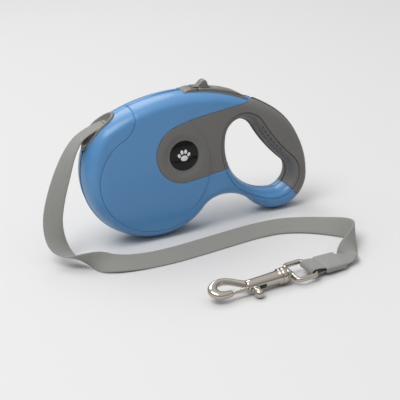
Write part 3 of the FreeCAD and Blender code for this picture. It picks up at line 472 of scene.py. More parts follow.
def surface(points):
    """Height of the left half above the parting plane."""
    rim = quarter(distance(points, closed_outline) / RIM)
    mouth = quarter(distance(points, closed_opening) / MOUTH_RIM)
    return depth(points) * rim * mouth


badge_spot = pair(-15.5, 63.8)
BADGE_R, DISH_R = 12.6, 17.2
LEDGE_ROWS = (7.2, 7.6, 8.1, 8.7)  # distances from the finger opening
PLATEAU_ROWS = (42.4, 43.0, 43.5, 44.0, 44.6)  # distances from the reel's axle
GRID_PITCH = 2.1
CLEARANCE = 0.8  # between the plain grid and the rows of closer points


def field_points():
    """All the points of the mesh in the side view: rim rows, seam rows and a plain grid."""
    rows = []
    steps = np.linspace(0, 1, 12)
    for t in steps[1:]:
        angle = start_angle + (math.pi / 2 - start_angle) * t
        rows.append(outline + outline_in * (RIM * (1 - np.cos(angle)))[:, None])
    for t in steps[1:]:
        rows.append(opening + opening_in * (MOUTH_RIM * (1 - math.cos(math.pi / 2 * t))))
    rows.append(badge_rings())
    for away in LEDGE_ROWS:
        rows.append(opening + opening_in * away)
    for radius in PLATEAU_ROWS:
        rows.append(arc_points(drum, radius, -66, 66, 1.3)[0])
    xs = np.arange(-HALF_LENGTH, HALF_LENGTH, GRID_PITCH)
    zs = np.arange(0, TOP_Z, GRID_PITCH * 0.866)
    grid = np.array([(x + (i % 2) * GRID_PITCH / 2, z) for i, z in enumerate(zs) for x in xs])
    clear = distance(grid, closed_outline) > RIM + CLEARANCE
    clear &= distance(grid, closed_opening) > LEDGE_ROWS[-1] + CLEARANCE
    from_axle = np.linalg.norm(grid - drum, axis=1)
    clear &= ((from_axle < PLATEAU_ROWS[0] - CLEARANCE)
              | (from_axle > PLATEAU_ROWS[-1] + CLEARANCE))
    clear &= np.linalg.norm(grid - badge_spot, axis=1) > DISH_R + 2 * CLEARANCE
    rows.append(grid[clear])
    points = np.concatenate(rows)
    for seam in SEAMS:
        points = points[distance(points, seam) > 0.95]
    return points


def badge_rings():
    """Rings of points round the badge's seat, close together where the dish bends."""
    radii = [BADGE_R + 0.1, BADGE_R + 0.8, 14.4, 15.4, 16.2, 16.8, DISH_R, 17.6, 18.2]
    return np.concatenate([arc_points(badge_spot, r, 0, 360, 1.3)[0] for r in radii])


def seam_rows(seam):
    """Rows of points beside a seam, at the foot and at the shoulder of its groove."""
    along = np.gradient(seam, axis=0)
    along /= np.linalg.norm(along, axis=1)[:, None]
    across = np.stack([-along[:, 1], along[:, 0]], axis=1)
    return [seam + across * offset for offset in (-0.75, -0.32, 0.32, 0.75)]


def inside_casing(points):
    """Whether points lie on the shell: within the rim and its notches, off the opening."""
    return inside(points, edge) & ~inside(points, opening)


# %% [markdown]
# Grooves and the badge's dish are pressed into the finished surface along its normals. The drum
# stands a little proud of the neck, with a soft step on a circle round the reel's axle. A low
# ledge with a fine crease runs round the finger opening.

# %%
GROOVE_DEPTH, GROOVE_HALF = 0.5, 0.4
DISH_DEPTH, SEAT_DEPTH = 1.3, 0.25
STEP_DEPTH, STEP_START, STEP_END = 0.95, 42.9, 44.1
LEDGE, CREASE_HALF = 0.9, 0.45


def pressed(points):
    """How far each point is pressed in along the surface's normal."""
    amount = np.zeros(len(points))
    for seam in SEAMS:
        groove = np.clip(1 - distance(points, seam) / GROOVE_HALF, 0, 1)
        amount = np.maximum(amount, GROOVE_DEPTH * groove)
    from_badge = np.linalg.norm(points - badge_spot, axis=1)
    dish = DISH_DEPTH * (1 - smoothstep(BADGE_R, DISH_R, from_badge)) ** 0.8
    amount += np.where(from_badge < DISH_R, np.maximum(dish, SEAT_DEPTH), 0)
    from_axle = np.linalg.norm(points - drum, axis=1)
    angle = np.degrees(np.arctan2(points[:, 1] - drum[1], points[:, 0] - drum[0]))
    side = 1 - smoothstep(38, 62, np.abs(angle))
    fade = 1 - smoothstep(43.5, 60, from_axle) * 0.8
    amount += STEP_DEPTH * smoothstep(STEP_START, STEP_END, from_axle) * fade * side
    from_opening = distance(points, closed_opening)
    amount += LEDGE * (1 - smoothstep(LEDGE_ROWS[0], LEDGE_ROWS[2], from_opening))
    amount += LEDGE * np.clip(1 - np.abs(from_opening - LEDGE_ROWS[1]) / CREASE_HALF, 0, 1)
    return amount


SCREW_SEAT, SCREW_HOLE_R = 7.5, 2.8
SEAM_GAP = 0.06  # between each half's edge and the parting plane
RIM_ROLL = 0.28
SKIRT = 1.4  # how far a piece's edges turn inward
SCREWS = [drum + (DRUM_R - 4.7) * unit(205), drum + (DRUM_R - 4.7) * unit(285),
          pair(arch_front[0] - 4, crown[1] + 9.5), pair(loft[0] - 23.2, loft[1] + 8.7),
          pair(heel[0] + 2.5, 9.15), pair(HALF_LENGTH - 13.0, corner[1] + 20)]


def half_field(holes):
    """The triangles of one half in the side view, with its screw holes if it has them."""
    points = field_points()
    points = points[inside_casing(points)]
    for hole in holes:
        points = points[np.linalg.norm(points - hole, axis=1) > SCREW_HOLE_R + 0.7]
    loose = [points]
    for seam in SEAMS:
        loose += [row[inside_casing(row)] for row in seam_rows(seam)]
    for hole in holes:
        loose.append(arc_points(hole, SCREW_HOLE_R + 0.35, 0, 360, 1.0)[0])
    loops = [edge, opening] + [arc_points(h, SCREW_HOLE_R, 0, 360, 0.8)[0] for h in holes]
    vertices, edges = list(np.concatenate(loose)), []
    for loop in loops:
        base = len(vertices)
        vertices += list(loop)
        edges += [(base + i, base + (i + 1) % len(loop)) for i in range(len(loop))]
    for seam in SEAMS:
        base = len(vertices)
        vertices += list(seam)
        edges += [(base + i, base + i + 1) for i in range(len(seam) - 1)]
    flat = [Vector((float(x), float(z))) for x, z in vertices]
    co, _, faces, *_ = delaunay_2d_cdt(flat, edges, [], 0, 1e-5)
    co = np.array([tuple(c) for c in co])
    faces = np.array([f for f in faces if len(f) == 3])
    middle = co[faces].mean(axis=1)
    keep = inside_casing(middle)
    for hole in holes:
        keep &= np.linalg.norm(middle - hole, axis=1) > SCREW_HOLE_R - 0.1
    return co, faces[keep], middle[keep]


def casing_half(side, holes):
    """One half of the casing, with a label for each face: 0 shell, 1 front band, 2 grip."""
    co, faces, middle = half_field(holes)
    height = surface(co)
    bm = bmesh.new()
    for (x, z), y in zip(co, height):
        bm.verts.new((x, side * (y + SEAM_GAP), z))
    bm.verts.ensure_lookup_table()
    order = 1 if side < 0 else -1
    for face in faces:
        bm.faces.new([bm.verts[int(i)] for i in face[::order]])
    bm.normal_update()
    amount = pressed(co)
    # the very rim rolls in a little, which draws the parting line
    amount += RIM_ROLL * (height < 0.05)
    for vert, press in zip(bm.verts, amount):
        vert.co -= vert.normal * float(press)
    label = np.where(inside(middle, GRIP_REGION), 2, np.where(inside(middle, FRONT_REGION), 1, 0))
    return bm, label


def split(bm, label, wanted, name):
    """The part of a half that has one label, with its edges turned inward."""
    piece = bm.copy()
    piece.faces.ensure_lookup_table()
    normals = {v.index: v.normal.copy() for v in piece.verts}
    drop = [f for f, kind in zip(piece.faces, label) if kind != wanted]
    bmesh.ops.delete(piece, geom=drop, context="FACES")
    rim = [e for e in piece.edges if e.is_boundary]
    low = bmesh.ops.extrude_edge_only(piece, edges=rim)["geom"]
    for vert in (g for g in low if isinstance(g, bmesh.types.BMVert)):
        source = next(e.other_vert(vert) for e in vert.link_edges
                      if e.other_vert(vert) not in low)
        side = 1 if source.co.y > 0 else -1
        if near_screw(source.co):
            vert.co.y = side * (SCREW_SEAT - 0.2)
        else:
            vert.co -= normals.get(source.index, source.normal) * SKIRT
        if side * vert.co.y < 0.04:
            vert.co.y = side * 0.04
    mesh = bpy.data.meshes.new(name)
    bmesh.ops.scale(piece, vec=(MM, MM, MM), verts=piece.verts)
    piece.to_mesh(mesh)
    piece.free()
    mesh.polygons.foreach_set("use_smooth", [True] * len(mesh.polygons))
    mesh.set_sharp_from_angle(angle=math.radians(38))
    return link_in(name, mesh)


def near_screw(place):
    """Whether a point of the right half lies on the edge of a screw hole."""
    return place.y > 0 and any(
        abs(math.hypot(place.x - s[0], place.z - s[1]) - SCREW_HOLE_R) < 0.15 for s in SCREWS)


CASING_PIECES = (("_shell", blue, "blue_shell", "_casing"),
                 ("_front_band", blue, "blue_shell", "_front_cover"),
                 ("_soft_grip", grey, "grey_grip", "_grip_cover"))


def build_casing():
    """Both halves; only the right one has the screw holes."""
    for side, holes in ((-1, []), (1, SCREWS)):
        word = word_for(side)
        bm, label = casing_half(side, holes)
        bm.verts.index_update()
        for wanted, (name, material, slot, node) in enumerate(CASING_PIECES):
            dress(split(bm, label, wanted, word + name), "casing", material, slot, word + node)
        bm.free()


build_casing()

# %% [markdown]
# ## Badges
#
# A glossy black dome with a plain paw print, a generic mark.

# %%
BADGE_TOP = DRUM_DEPTH - 0.1
BADGE_CURVE, BADGE_POWER = 1.5, 2.6
PAW_PADS = [  # x, z, half width, half height and lean in degrees
    (0.0, -1.6, 2.9, 2.2, 0), (-3.9, 0.9, 1.15, 1.6, 25), (-1.5, 3.3, 1.2, 1.75, 8),
    (1.5, 3.3, 1.2, 1.75, -8), (3.9, 0.9, 1.15, 1.6, -25)]


def badge_height(r):
    """How far the dome stands from the parting plane at a distance from its middle."""
    return BADGE_TOP - BADGE_CURVE * (r / BADGE_R) ** BADGE_POWER


def badge(side):
    """The dome on one side."""
    rings, turns = 14, 64
    vertices, faces = [(badge_spot[0], side * BADGE_TOP, badge_spot[1])], []
    for i in range(1, rings + 1):
        r = BADGE_R * i / rings
        y = badge_height(r)
        for j in range(turns):
            x, z = badge_spot + r * unit(360 * j / turns)
            vertices.append((x, side * y, z))
    for j in range(turns):
        x, z = badge_spot + BADGE_R * unit(360 * j / turns)
        vertices.append((x, side * (DRUM_DEPTH - 3.0), z))
    for j in range(turns):
        after = (j + 1) % turns
        faces.append((0, 1 + j, 1 + after))
        for i in range(rings):
            a = 1 + i * turns
            faces.append((a + j, a + turns + j, a + turns + after, a + after))
    dome = face_outward(new_object(word_for(side) + "_badge_dome", vertices, faces), 60)
    dress(face_side(dome, side), "casing", black, "black_badge", word_for(side) + "_badge")


def paw_print(side):
    """A pad and four toes, raised a hair above the dome."""
    vertices, faces = [], []
    count = 28
    for x0, z0, width, height, lean in PAW_PADS:
        base = len(vertices)
        for scale in (1.0, 0.9, 0.0):
            for j in range(count if scale else 1):
                u = unit(360 * j / count) * (width, height) * scale
                c, s = unit(lean)
                px, pz = x0 + u[0] * c - u[1] * s, z0 + u[0] * s + u[1] * c
                lift = badge_height(math.hypot(px, pz)) + (0.02 if scale == 1 else 0.1)
                vertices.append((badge_spot[0] + px, side * lift, badge_spot[1] + pz))
        for j in range(count):
            after = (j + 1) % count
            faces.append((base + j, base + after, base + count + after, base + count + j))
            faces.append((base + count + j, base + count + after, base + 2 * count))
    mark = new_object(word_for(side) + "_badge_print", vertices, faces)
    dress(face_side(mark, side), "casing", print_silver, "black_badge")


for side in (-1, 1):
    badge(side)
    paw_print(side)

# %% [markdown]
# ## Tape
#
# The route is a smooth spline through control points. Its width direction turns from point to
# point: across the nozzle, then facing the viewer, then standing nearly on edge on the table.

# %%
TAPE_WIDTH, TAPE_THICKNESS = 15.0, 1.0
TAPE_ROUTE = [
    # x, y, z and the direction across the tape
    ((-71, 0, 96), (0, -1, 0)), ((-88, 0, 91.8), (0.05, -1, 0)),
    ((-99, -0.5, 79.5), (0.35, -0.93, 0.05)), ((-107, -1.5, 64), (0.66, -0.75, 0.1)),
    ((-115, -3, 46.5), (0.82, -0.57, 0.1)), ((-121, -6, 29), (0.92, -0.38, 0.0)),
    ((-121, -13, 13), (0.95, -0.1, -0.2)), ((-115, -27, 6.4), (0.9, 0.1, -0.42)),
    ((-104, -42, 8), (0.62, -0.5, -0.5)), ((-89, -53, 5.8), (0.3, -0.8, -0.5)),
    ((-67, -57, 4), (0.04, -0.88, -0.47)), ((-44, -57.6, 4), (0, -0.88, -0.47)),
    ((-21, -55, 4), (-0.1, -0.88, -0.47)), ((2, -52, 4), (-0.1, -0.88, -0.47)),
    ((24, -49.3, 4), (-0.05, -0.88, -0.47)), ((44, -50.2, 4.2), (0.05, -0.88, -0.45)),
    ((61, -59.5, 4.6), (-0.35, -0.8, -0.45)), ((74, -73, 5.4), (-0.6, -0.5, -0.6)),
    ((82.5, -88.5, 7.3), (-0.45, -0.15, -0.85)), ((83.5, -99.5, 8.2), (-0.1, 0, -1)),
    ((78, -109, 8.2), (0.08, -0.15, -0.97)), ((69.5, -119, 7.8), (0.2, -0.45, -0.85)),
    ((62, -127, 7.6), (0.2, -0.85, -0.45)),
]


def tape_curve():
    """The route as a NURBS curve, which the ribbon then follows."""
    curve = bpy.data.curves.new("tape_route", "CURVE")
    curve.dimensions = "3D"
    curve.resolution_u = 12
    spline = curve.splines.new("NURBS")
    route = [place for place, _ in TAPE_ROUTE] + MOUTH_POINTS
    spline.points.add(len(route) - 1)
    for point, place in zip(spline.points, route):
        point.co = (*[c * MM for c in place], 1)
    spline.order_u = 3
    spline.use_endpoint_u = True
    holder = link_in("tape_route", curve)
    line = bpy.data.meshes.new_from_object(holder)
    points = np.array([v.co for v in line.vertices]) / MM
    bpy.data.meshes.remove(line)
    bpy.data.objects.remove(holder)
    return points


# %% [markdown]
# The snap hook and the swivel eye share an axis near the table. Each of them and the sleeve at
# the end of the tape has its own place: local x runs from the hook towards the tape.

# %%
EYE_LENGTH, EYE_WIRE = 20.3, 1.7
SNAP_TURN = Matrix.Translation((6.0, -138.5, 6.4)) @ spun(5, "Z")
SNAP, EYE = SNAP_TURN @ spun(18, "X"), SNAP_TURN @ spun(9, "X")
END = EYE @ Matrix.Translation((EYE_LENGTH, 0, 0)) @ spun(3, "Z") @ spun(4.5, "Y")
LOOP_LENGTH, SLEEVE_LENGTH, SLEEVE_HALF = 8.5, 17.5, 9.5
TAPE_LEAD = 6.0
MOUTH_POINTS = [tuple(END @ Vector((LOOP_LENGTH + SLEEVE_LENGTH + ahead, 0, 0)))
                for ahead in (TAPE_LEAD, 0.0)]


def ribbon(points, widths, width, thickness):
    """Rings of a flat strip with rounded edges that follows points; widths point across it."""
    tangents = np.gradient(points, axis=0)
    tangents /= np.linalg.norm(tangents, axis=1)[:, None]
    widths = widths - tangents * (widths * tangents).sum(1)[:, None]
    widths /= np.linalg.norm(widths, axis=1)[:, None]
    normals = np.cross(tangents, widths)
    half_width, half_thick = width / 2, thickness / 2
    flat = half_width - half_thick
    across = np.linspace(flat, -flat, 9)[1:-1]
    section = [(flat + half_thick * c, half_thick * s) for c, s in unit(np.linspace(-90, 90, 5))]
    section += [(w, half_thick) for w in across]
    section += [(-flat + half_thick * c, half_thick * s) for c, s in unit(np.linspace(90, 270, 5))]
    section += [(w, -half_thick) for w in across[::-1]]
    return [[point + wide * w + up * n for w, n in section]
            for point, wide, up in zip(points, widths, normals)]


WEAVE_ROWS_PER_MM, WEAVE_RIBS_PER_MM = 0.9, 1.1
YARN_DARK, YARN_LIGHT = (0.20, 0.20, 0.185, 1), (0.32, 0.32, 0.30, 1)


def woven_material():
    """A tight plain weave: fine ribs across the tape and slightly darker rows along it."""
    material = finish_material("woven tape", YARN_DARK[:3], 0.85)
    tree = material.node_tree
    place = add_node(tree, "UVMap", {}, uv_map="weave")
    place = add_node(tree, "SeparateXYZ", {"Vector": place.outputs["UV"]})

    def maths(operation, first, second=0.0):
        return add_node(tree, "Math", {0: first, 1: second}, operation=operation).outputs[0]

    full_turn = 2 * math.pi
    rows = maths("SINE", maths("MULTIPLY", place.outputs["Y"], WEAVE_ROWS_PER_MM * full_turn))
    along = maths("MULTIPLY", place.outputs["X"], WEAVE_RIBS_PER_MM * full_turn)
    ribs = maths("SINE", maths("ADD", along, maths("MULTIPLY", rows, math.pi / 2)))
    total = maths("MULTIPLY", rows, ribs)
    bump = add_node(tree, "Bump", {"Strength": 0.5, "Distance": 0.00025, "Height": total})
    share = add_node(tree, "MapRange", {"From Min": -1, "Value": total})
    mix = add_node(tree, "Mix", {"A": YARN_DARK, "B": YARN_LIGHT,
                                 "Factor": share.outputs["Result"]}, data_type="RGBA")
    set_inputs(tree, tree.nodes["Principled BSDF"], {
        "Normal": bump.outputs["Normal"], "Base Color": mix.outputs["Result"],
        "Sheen Weight": 0.25, "Sheen Roughness": 0.5})
    return material


woven = woven_material()


def tape_strip(name, points, widths):
    """A woven strip along points, with a UV map in millimetres along and across it."""
    rings = ribbon(points, widths, TAPE_WIDTH, TAPE_THICKNESS)
    first = np.array(rings[0])
    strip = new_object(name, [v for ring in rings for v in ring],
                       ring_faces(len(first), len(rings)))
    wide = first[4] - first[-8]
    wide /= np.linalg.norm(wide)
    across = (first - points[0]) @ wide
    lengths = running_length(points)
    layer = strip.data.uv_layers.new(name="weave")
    for loop in strip.data.loops:
        i, j = divmod(loop.vertex_index, len(first))
        layer.data[loop.index].uv = (lengths[i], across[j])
    return face_outward(strip, 60)


def build_tape():
    """The tape that has been pulled out, from the nozzle to the sleeve."""
    points = tape_curve()
    route = np.array([place for place, _ in TAPE_ROUTE] + MOUTH_POINTS, float)
    across = np.array([wide for _, wide in TAPE_ROUTE], float)
    end_across = np.array(END.to_3x3() @ Vector((0, -1, 0)))
    across = np.vstack([across, end_across, end_across])
    across /= np.linalg.norm(across, axis=1)[:, None]
    at, along = running_length(route), running_length(points)
    where = along / along[-1] * at[-1]
    widths = np.stack([np.interp(where, at, across[:, i]) for i in range(3)], axis=1)
    # the turning of the width direction is evened out over a few points
    reach = 4
    kernel = np.ones(2 * reach + 1) / (2 * reach + 1)
    for i in range(3):
        widths[:, i] = np.convolve(np.pad(widths[:, i], reach, mode="edge"), kernel, mode="valid")
    strip = dress(tape_strip("woven_tape", points, widths), "casing", woven, "tape_fabric",
                  "leash_tape")


build_tape()

# %% [markdown]
# ## Lofted pieces
#
# The small parts are lofts: rings of points, in millimetres, joined one after the other.

# %%
def lofted(name, rings, closed=False, sharp=35):
    """A skin through rings of equal length, with a cap at both ends or closed on itself."""
    faces = ring_faces(len(rings[0]), len(rings), closed)
    return face_outward(new_object(name, [v for ring in rings for v in ring], faces), sharp)


def oval(width, height, power=2.0, count=32):
    """A superellipse round (0, 0), from an ellipse at power 2 towards a box at high powers."""
    c, s = unit((np.arange(count) + 0.5) * 360 / count).T
    return np.stack([width * np.sign(c) * np.abs(c) ** (2 / power),
                     height * np.sign(s) * np.abs(s) ** (2 / power)], axis=1)


def turned(name, profile, place, sharp=35):
    """A turned piece: rows of (distance along the local x axis, radius)."""
    return lofted(name, [[place @ Vector((along, u, v)) for u, v in oval(radius, radius, count=40)]
                         for along, radius in profile], sharp=sharp)


def smooth_rows(rows, steps):
    """Rows of numbers joined by a smooth curve that passes through all of them."""
    rows = np.asarray(rows, float)
    padded = np.vstack([2 * rows[0] - rows[1], rows, 2 * rows[-1] - rows[-2]])
    out = []
    for a, b, c, d in zip(padded, padded[1:], padded[2:], padded[3:]):
        for t in np.linspace(0, 1, steps, endpoint=False):
            out.append(0.5 * (2 * b + (c - a) * t + (2 * a - 5 * b + 4 * c - d) * t ** 2
                              + (3 * b - a - 3 * c + d) * t ** 3))
    return np.array(out + [rows[-1]])


def swept(name, path, sections, place, closed=False):
    """A bar along a path in the local XY plane; sections are (half width, half height)."""
    if closed:
        along = np.roll(path, -1, axis=0) - np.roll(path, 1, axis=0)
    else:
        along = np.gradient(path, axis=0)
    along /= np.linalg.norm(along, axis=1)[:, None]
    rings = []
    for (x, y), (tx, ty), (wide, high) in zip(path, along, sections):
        rings.append([place @ Vector((x - ty * u, y + tx * u, v))
                      for u, v in oval(wide, high, 2.4, 28)])
    return lofted(name, rings, closed, 60)


# %% [markdown]
# ## Nozzle
#
# A pointed oval collar that follows the rim of the drum, with a hollow that leads to the slot.

# %%
# share of the way out from the middle, rise above the casing's rim
NOZZLE_PROFILE = [(0.02, -2.8), (0.5, -2.7), (0.72, -2.2), (0.81, -0.6), (0.86, 0.9), (0.91, 1.35),
                  (0.96, 1.1), (0.985, 0.6), (1.0, -1.2)]
SLOT_SPOT = pair(-73.1, 95.5)
SLOT_REACH, SLOT_HALF = 4.2, 6.8


def on_drum_rim(along, across, rise):
    """Points over the casing's rim; along is -1 at the nozzle's foot and 1 at its head."""
    near = (outline[:, 1] > UPPER_RIM) & (outline[:, 0] < -45)
    station = nozzle_station(outline[near])
    order = np.argsort(station)
    table = np.hstack([outline[near], outline_in[near]])[order]
    x, z, in_x, in_z = (np.interp(along, station[order], column) for column in table.T)
    drop = RIM * (1 - np.sqrt(1 - (across / DRUM_DEPTH) ** 2)) - rise
    return np.stack([x + in_x * drop, across, z + in_z * drop], axis=1)


def build_nozzle():
    """The collar, and a near-black sheet just above the floor of its hollow, which is painted
    shade of the slot.
    """
    c, s = unit(np.arange(0, 360, 5)).T
    along, across = np.sign(c) * np.abs(c) ** (2 / nozzle_power(c)), NOZZLE_HALF * s
    rings = [on_drum_rim(along * share, across * share, rise) for share, rise in NOZZLE_PROFILE]
    dress(lofted("nozzle_collar", rings, sharp=60), "casing", trim, "grey_trim", "tape_nozzle")
    shares, rises = np.array(NOZZLE_PROFILE).T
    # the slot is a near-black sheet: painted shade, no opening is cut
    middle = nozzle_station(SLOT_SPOT)
    rings = []
    for scale, lift in ((0.02, 0.1), (0.5, 0.1), (0.9, 0.1), (1.0, -0.3)):
        mouth = oval(SLOT_REACH / nozzle_reach, SLOT_HALF, 3.0) * scale
        at = middle + mouth[:, 0]
        share = np.sqrt(np.abs(at) ** nozzle_power(at) + (mouth[:, 1] / NOZZLE_HALF) ** 2)
        rings.append(on_drum_rim(at, mouth[:, 1], np.interp(share, shares, rises) + lift))
    dress(lofted("nozzle_slot_shade", rings, sharp=60), "casing", painted_shade, "grey_trim")


build_nozzle()

# %% [markdown]
# ## Brake controls
#
# The tray, its nose, the lever and the lock's fin lie along the long arc of the casing's top.


# %%
def on_top(x, y, rise):
    """A point over the casing's top: x along it, y across it, rise above the top line."""
    spot = top + (TOP_R + rise) * unit(math.degrees(math.acos((x - top[0]) / TOP_R)))
    return (spot[0], y, spot[1])


def top_block(name, stations, bottom, power):
    """A block with soft edges along the top; stations are (x, half width, rise of its top)."""
    rings = []
    for x, half_width, high in stations:
        middle, tall = (high + bottom) / 2, (high - bottom) / 2
        rings.append([on_top(x, u, middle + v) for u, v in oval(half_width, tall, power, 44)])
    return lofted(name, rings, sharp=40)


# across the casing, rise above its top line
TRAY_SECTION = [(-8.85, -6), (-8.85, -0.95), (-8.6, -0.7), (-7.9, -0.7), (-7.6, -0.95),
                (-7.6, -3.4), (7.6, -3.4), (7.6, -0.95), (7.9, -0.7), (8.6, -0.7),
                (8.85, -0.95), (8.85, -6)]
# along the casing, height above the plate
FIN = [(5.0, 0.0), (6.2, 0.9), (7.4, 2.3), (8.6, 3.7), (9.6, 4.5), (10.6, 4.75), (11.6, 4.55),
       (12.5, 3.9), (13.1, 2.8), (13.7, 1.6), (14.4, 0.6), (15.0, 0.0), (15.0, -0.6), (5.0, -0.6)]
# name, rise of the underside, squareness, stations as in top_block, and where each belongs
BLOCKS = [
    ("tray_rear_wall", -4, 7, [(43.4, 8.7, -0.8), (44.9, 8.7, -0.8)], "casing", trim, "grey_trim"),
    ("control_nose", -3.4, 7, [(-7.4, 6.6, -1.3), (-6.8, 7.0, -0.5), (-4.5, 7.2, 0.5),
                               (-1.5, 7.2, 1.15), (3.3, 7.2, 1.35), (3.8, 7.0, 1.0)],
     "casing", trim, "grey_trim"),
    ("brake_lever_top", -1.8, 7, [(5.0, 6.9, 1.0), (5.5, 7.2, 1.35), (15, 7.2, 1.4),
                                  (26, 7.2, 1.45), (33, 7.1, 1.3), (38, 6.8, 0.8),
                                  (41, 6.2, 0.3), (42.3, 5.4, -0.2)],
     "lever", trim, "grey_lever", "brake_lever"),
    ("brake_lever_pad", 0.4, 4, [(17.6, 4.6, 1.42), (18.6, 5.2, 1.8), (27, 5.3, 1.85),
                                 (34, 4.9, 1.5), (37.5, 3.8, 0.9)],
     "lever", lever_pad, "grey_lever"),
    ("lock_plate", 1.5, 7, [(1.6, 3.9, 2.0), (2.2, 4.2, 2.2), (14.8, 4.2, 2.2), (15.4, 3.9, 2.0)],
     "lock", trim, "grey_lever", "lock_slider"),
]
FIN_FOOT, FIN_MIDDLE = 2.1, pair(10.2, 1.6)
FIN_SLICES = [(-3.4, 0.86), (-3.15, 0.95), (-2.6, 1.0), (2.6, 1.0), (3.15, 0.95), (3.4, 0.86)]
HOLE_SHADE_Y = -5.4


def build_controls():
    """Fixed tray and nose, the lever with its pad, and the lock's plate with its fin."""
    xs = np.linspace(-7.5, 45, 22)
    tray = lofted("control_tray_frame", [[on_top(x, y, r) for y, r in TRAY_SECTION] for x in xs])
    dress(tray, "casing", trim, "grey_trim", "control_tray")
    for name, bottom, power, stations, *belongs in BLOCKS:
        dress(top_block(name, stations, bottom, power), *belongs)
    rings = [[on_top(x, y, FIN_FOOT + h) for x, h in FIN_MIDDLE + (FIN - FIN_MIDDLE) * share]
             for y, share in FIN_SLICES]
    dress(lofted("lock_fin", rings, sharp=40), "lock", trim, "grey_lever")
    # a near-black spot on the nose: painted shade of a small hole
    hole_shade = top_block("nose_hole_shade", [(-0.6, 0.05, 1.3), (-0.3, 0.5, 1.3), (0.3, 0.5, 1.35),
                                 (0.6, 0.05, 1.35)], 0.4, 2)
    hole_shade.data.transform(Matrix.Translation((0, HOLE_SHADE_Y * MM, 0)))
    dress(hole_shade, "casing", painted_shade, "grey_trim")


build_controls()

# %% [markdown]
# ## Grip dimples
#
# Two rows of shallow dimples on each side of the grip's inner wall, coloured near black: painted
# shade in the dimples.

# %%
DIMPLE_R, DIMPLE_DEPTH, DIMPLE_CORNERS = 0.75, 0.12, 12
# share of the way along the grip's inner edge, distance from that edge
DIMPLE_SPOTS = [(share, away) for away, shift in ((1.6, 0.0), (4.6, 0.04))
                for share in np.arange(0.26, 0.9, 0.1) + shift]


def skin_point(place, side, lift=0.0):
    """A point on the casing's skin and the skin's outward normal there."""
    step = 0.2
    spots = np.array([place, place + (step, 0), place + (0, step)])
    here, right, above = surface(spots)
    normal = Vector((-(right - here) / step, side, -(above - here) / step)).normalized()
    return Vector((place[0], side * here, place[1])) + normal * lift, normal


def build_dimples(side):
    """Both rows on one side, as one piece."""
    low, high = heading(ridge, corner), heading(ridge, loft)
    vertices, faces = [], []
    for share, away in DIMPLE_SPOTS:
        place = ridge + (RIDGE_R - away) * unit(low + (high - low) * share)
        centre, normal = skin_point(place, side, 0.02 - LEDGE)
        across = normal.orthogonal().normalized()
        other = normal.cross(across)
        base = len(vertices)
        ring = [centre + across * (DIMPLE_R * c) + other * (DIMPLE_R * s)
                for c, s in unit(np.arange(0, 360, 360 // DIMPLE_CORNERS))]
        vertices += ring + [centre - normal * DIMPLE_DEPTH]
        faces += [(base + j, base + (j + 1) % DIMPLE_CORNERS, base + DIMPLE_CORNERS)
                  for j in range(DIMPLE_CORNERS)]
    marks = new_object(word_for(side) + "_grip_dimples", vertices, faces)
    dress(face_side(marks, side), "casing", dimple_shade, "grey_grip")


for side in (-1, 1):
    build_dimples(side)

# %% [markdown]
# ## Snap hook, swivel eye and sleeve
#
# The snap is modelled along its own x axis. Its hook is a flattened bar that is widest at the
# tip, and the bolt closes it. The eye lies flatter than the hook, on the same swivel axis.

# %%
BOLT_OFFSET = -2.0
HOOK_ROWS = [
    # x, y, half width, half height
    (-28, 0.6, 2.6, 2.5), (-34, 5.0, 2.1, 2.5), (-40, 9.4, 1.9, 2.6), (-45.5, 11.0, 2.1, 2.7),
    (-51, 9.6, 2.8, 2.7), (-54.4, 4.9, 3.6, 2.7), (-52.6, -0.3, 3.3, 2.7), (-48.2, -2.0, 2.6, 2.5),
    (-43.6, -2.1, 2.1, 2.1), (-43.0, -2.1, 1.3, 1.3),
]
# turned pieces: distance along the piece's axis, radius
BARREL = [(-31.2, 3.2), (-31.0, 3.9), (-30.4, 4.25), (-28, 4.35), (-7.0, 4.9), (-6.4, 5.4),
          (-5.9, 5.8), (-5.0, 5.9), (-4.4, 5.6), (-4.0, 5.2), (-3.6, 5.6), (-3.0, 5.95),
          (-0.7, 5.95), (-0.2, 5.6), (-0.1, 4.2)]
KNOB = [(2.0, 1.4), (4.5, 1.5), (4.6, 2.9), (4.9, 3.2), (5.5, 3.2), (5.8, 2.9), (6.0, 2.3),
        (6.5, 2.2), (7.1, 2.7), (8.0, 3.2), (9.3, 3.4), (10.6, 3.2), (11.8, 2.6), (12.6, 1.7),
        (13.0, 0.5)]
ROD = [(-42.6, 0.7), (-42.4, 1.2), (-42.0, 1.4), (-30.0, 1.4), (-18.0, 1.3)]
EYE_HUB = [(0.15, 3.6), (0.3, 5.1), (0.7, 5.4), (1.8, 5.3), (2.8, 4.3), (3.6, 3.1), (4.8, 2.3),
           (5.6, 1.6)]
EYE_STEM = [(-2.0, 2.2), (1.0, 2.2)]
KNOB_X, SLOT_ANGLE = -26.2, 22
EYE_SIDE, EYE_BASE, EYE_BEND = 10.5, 4.6, 3.6


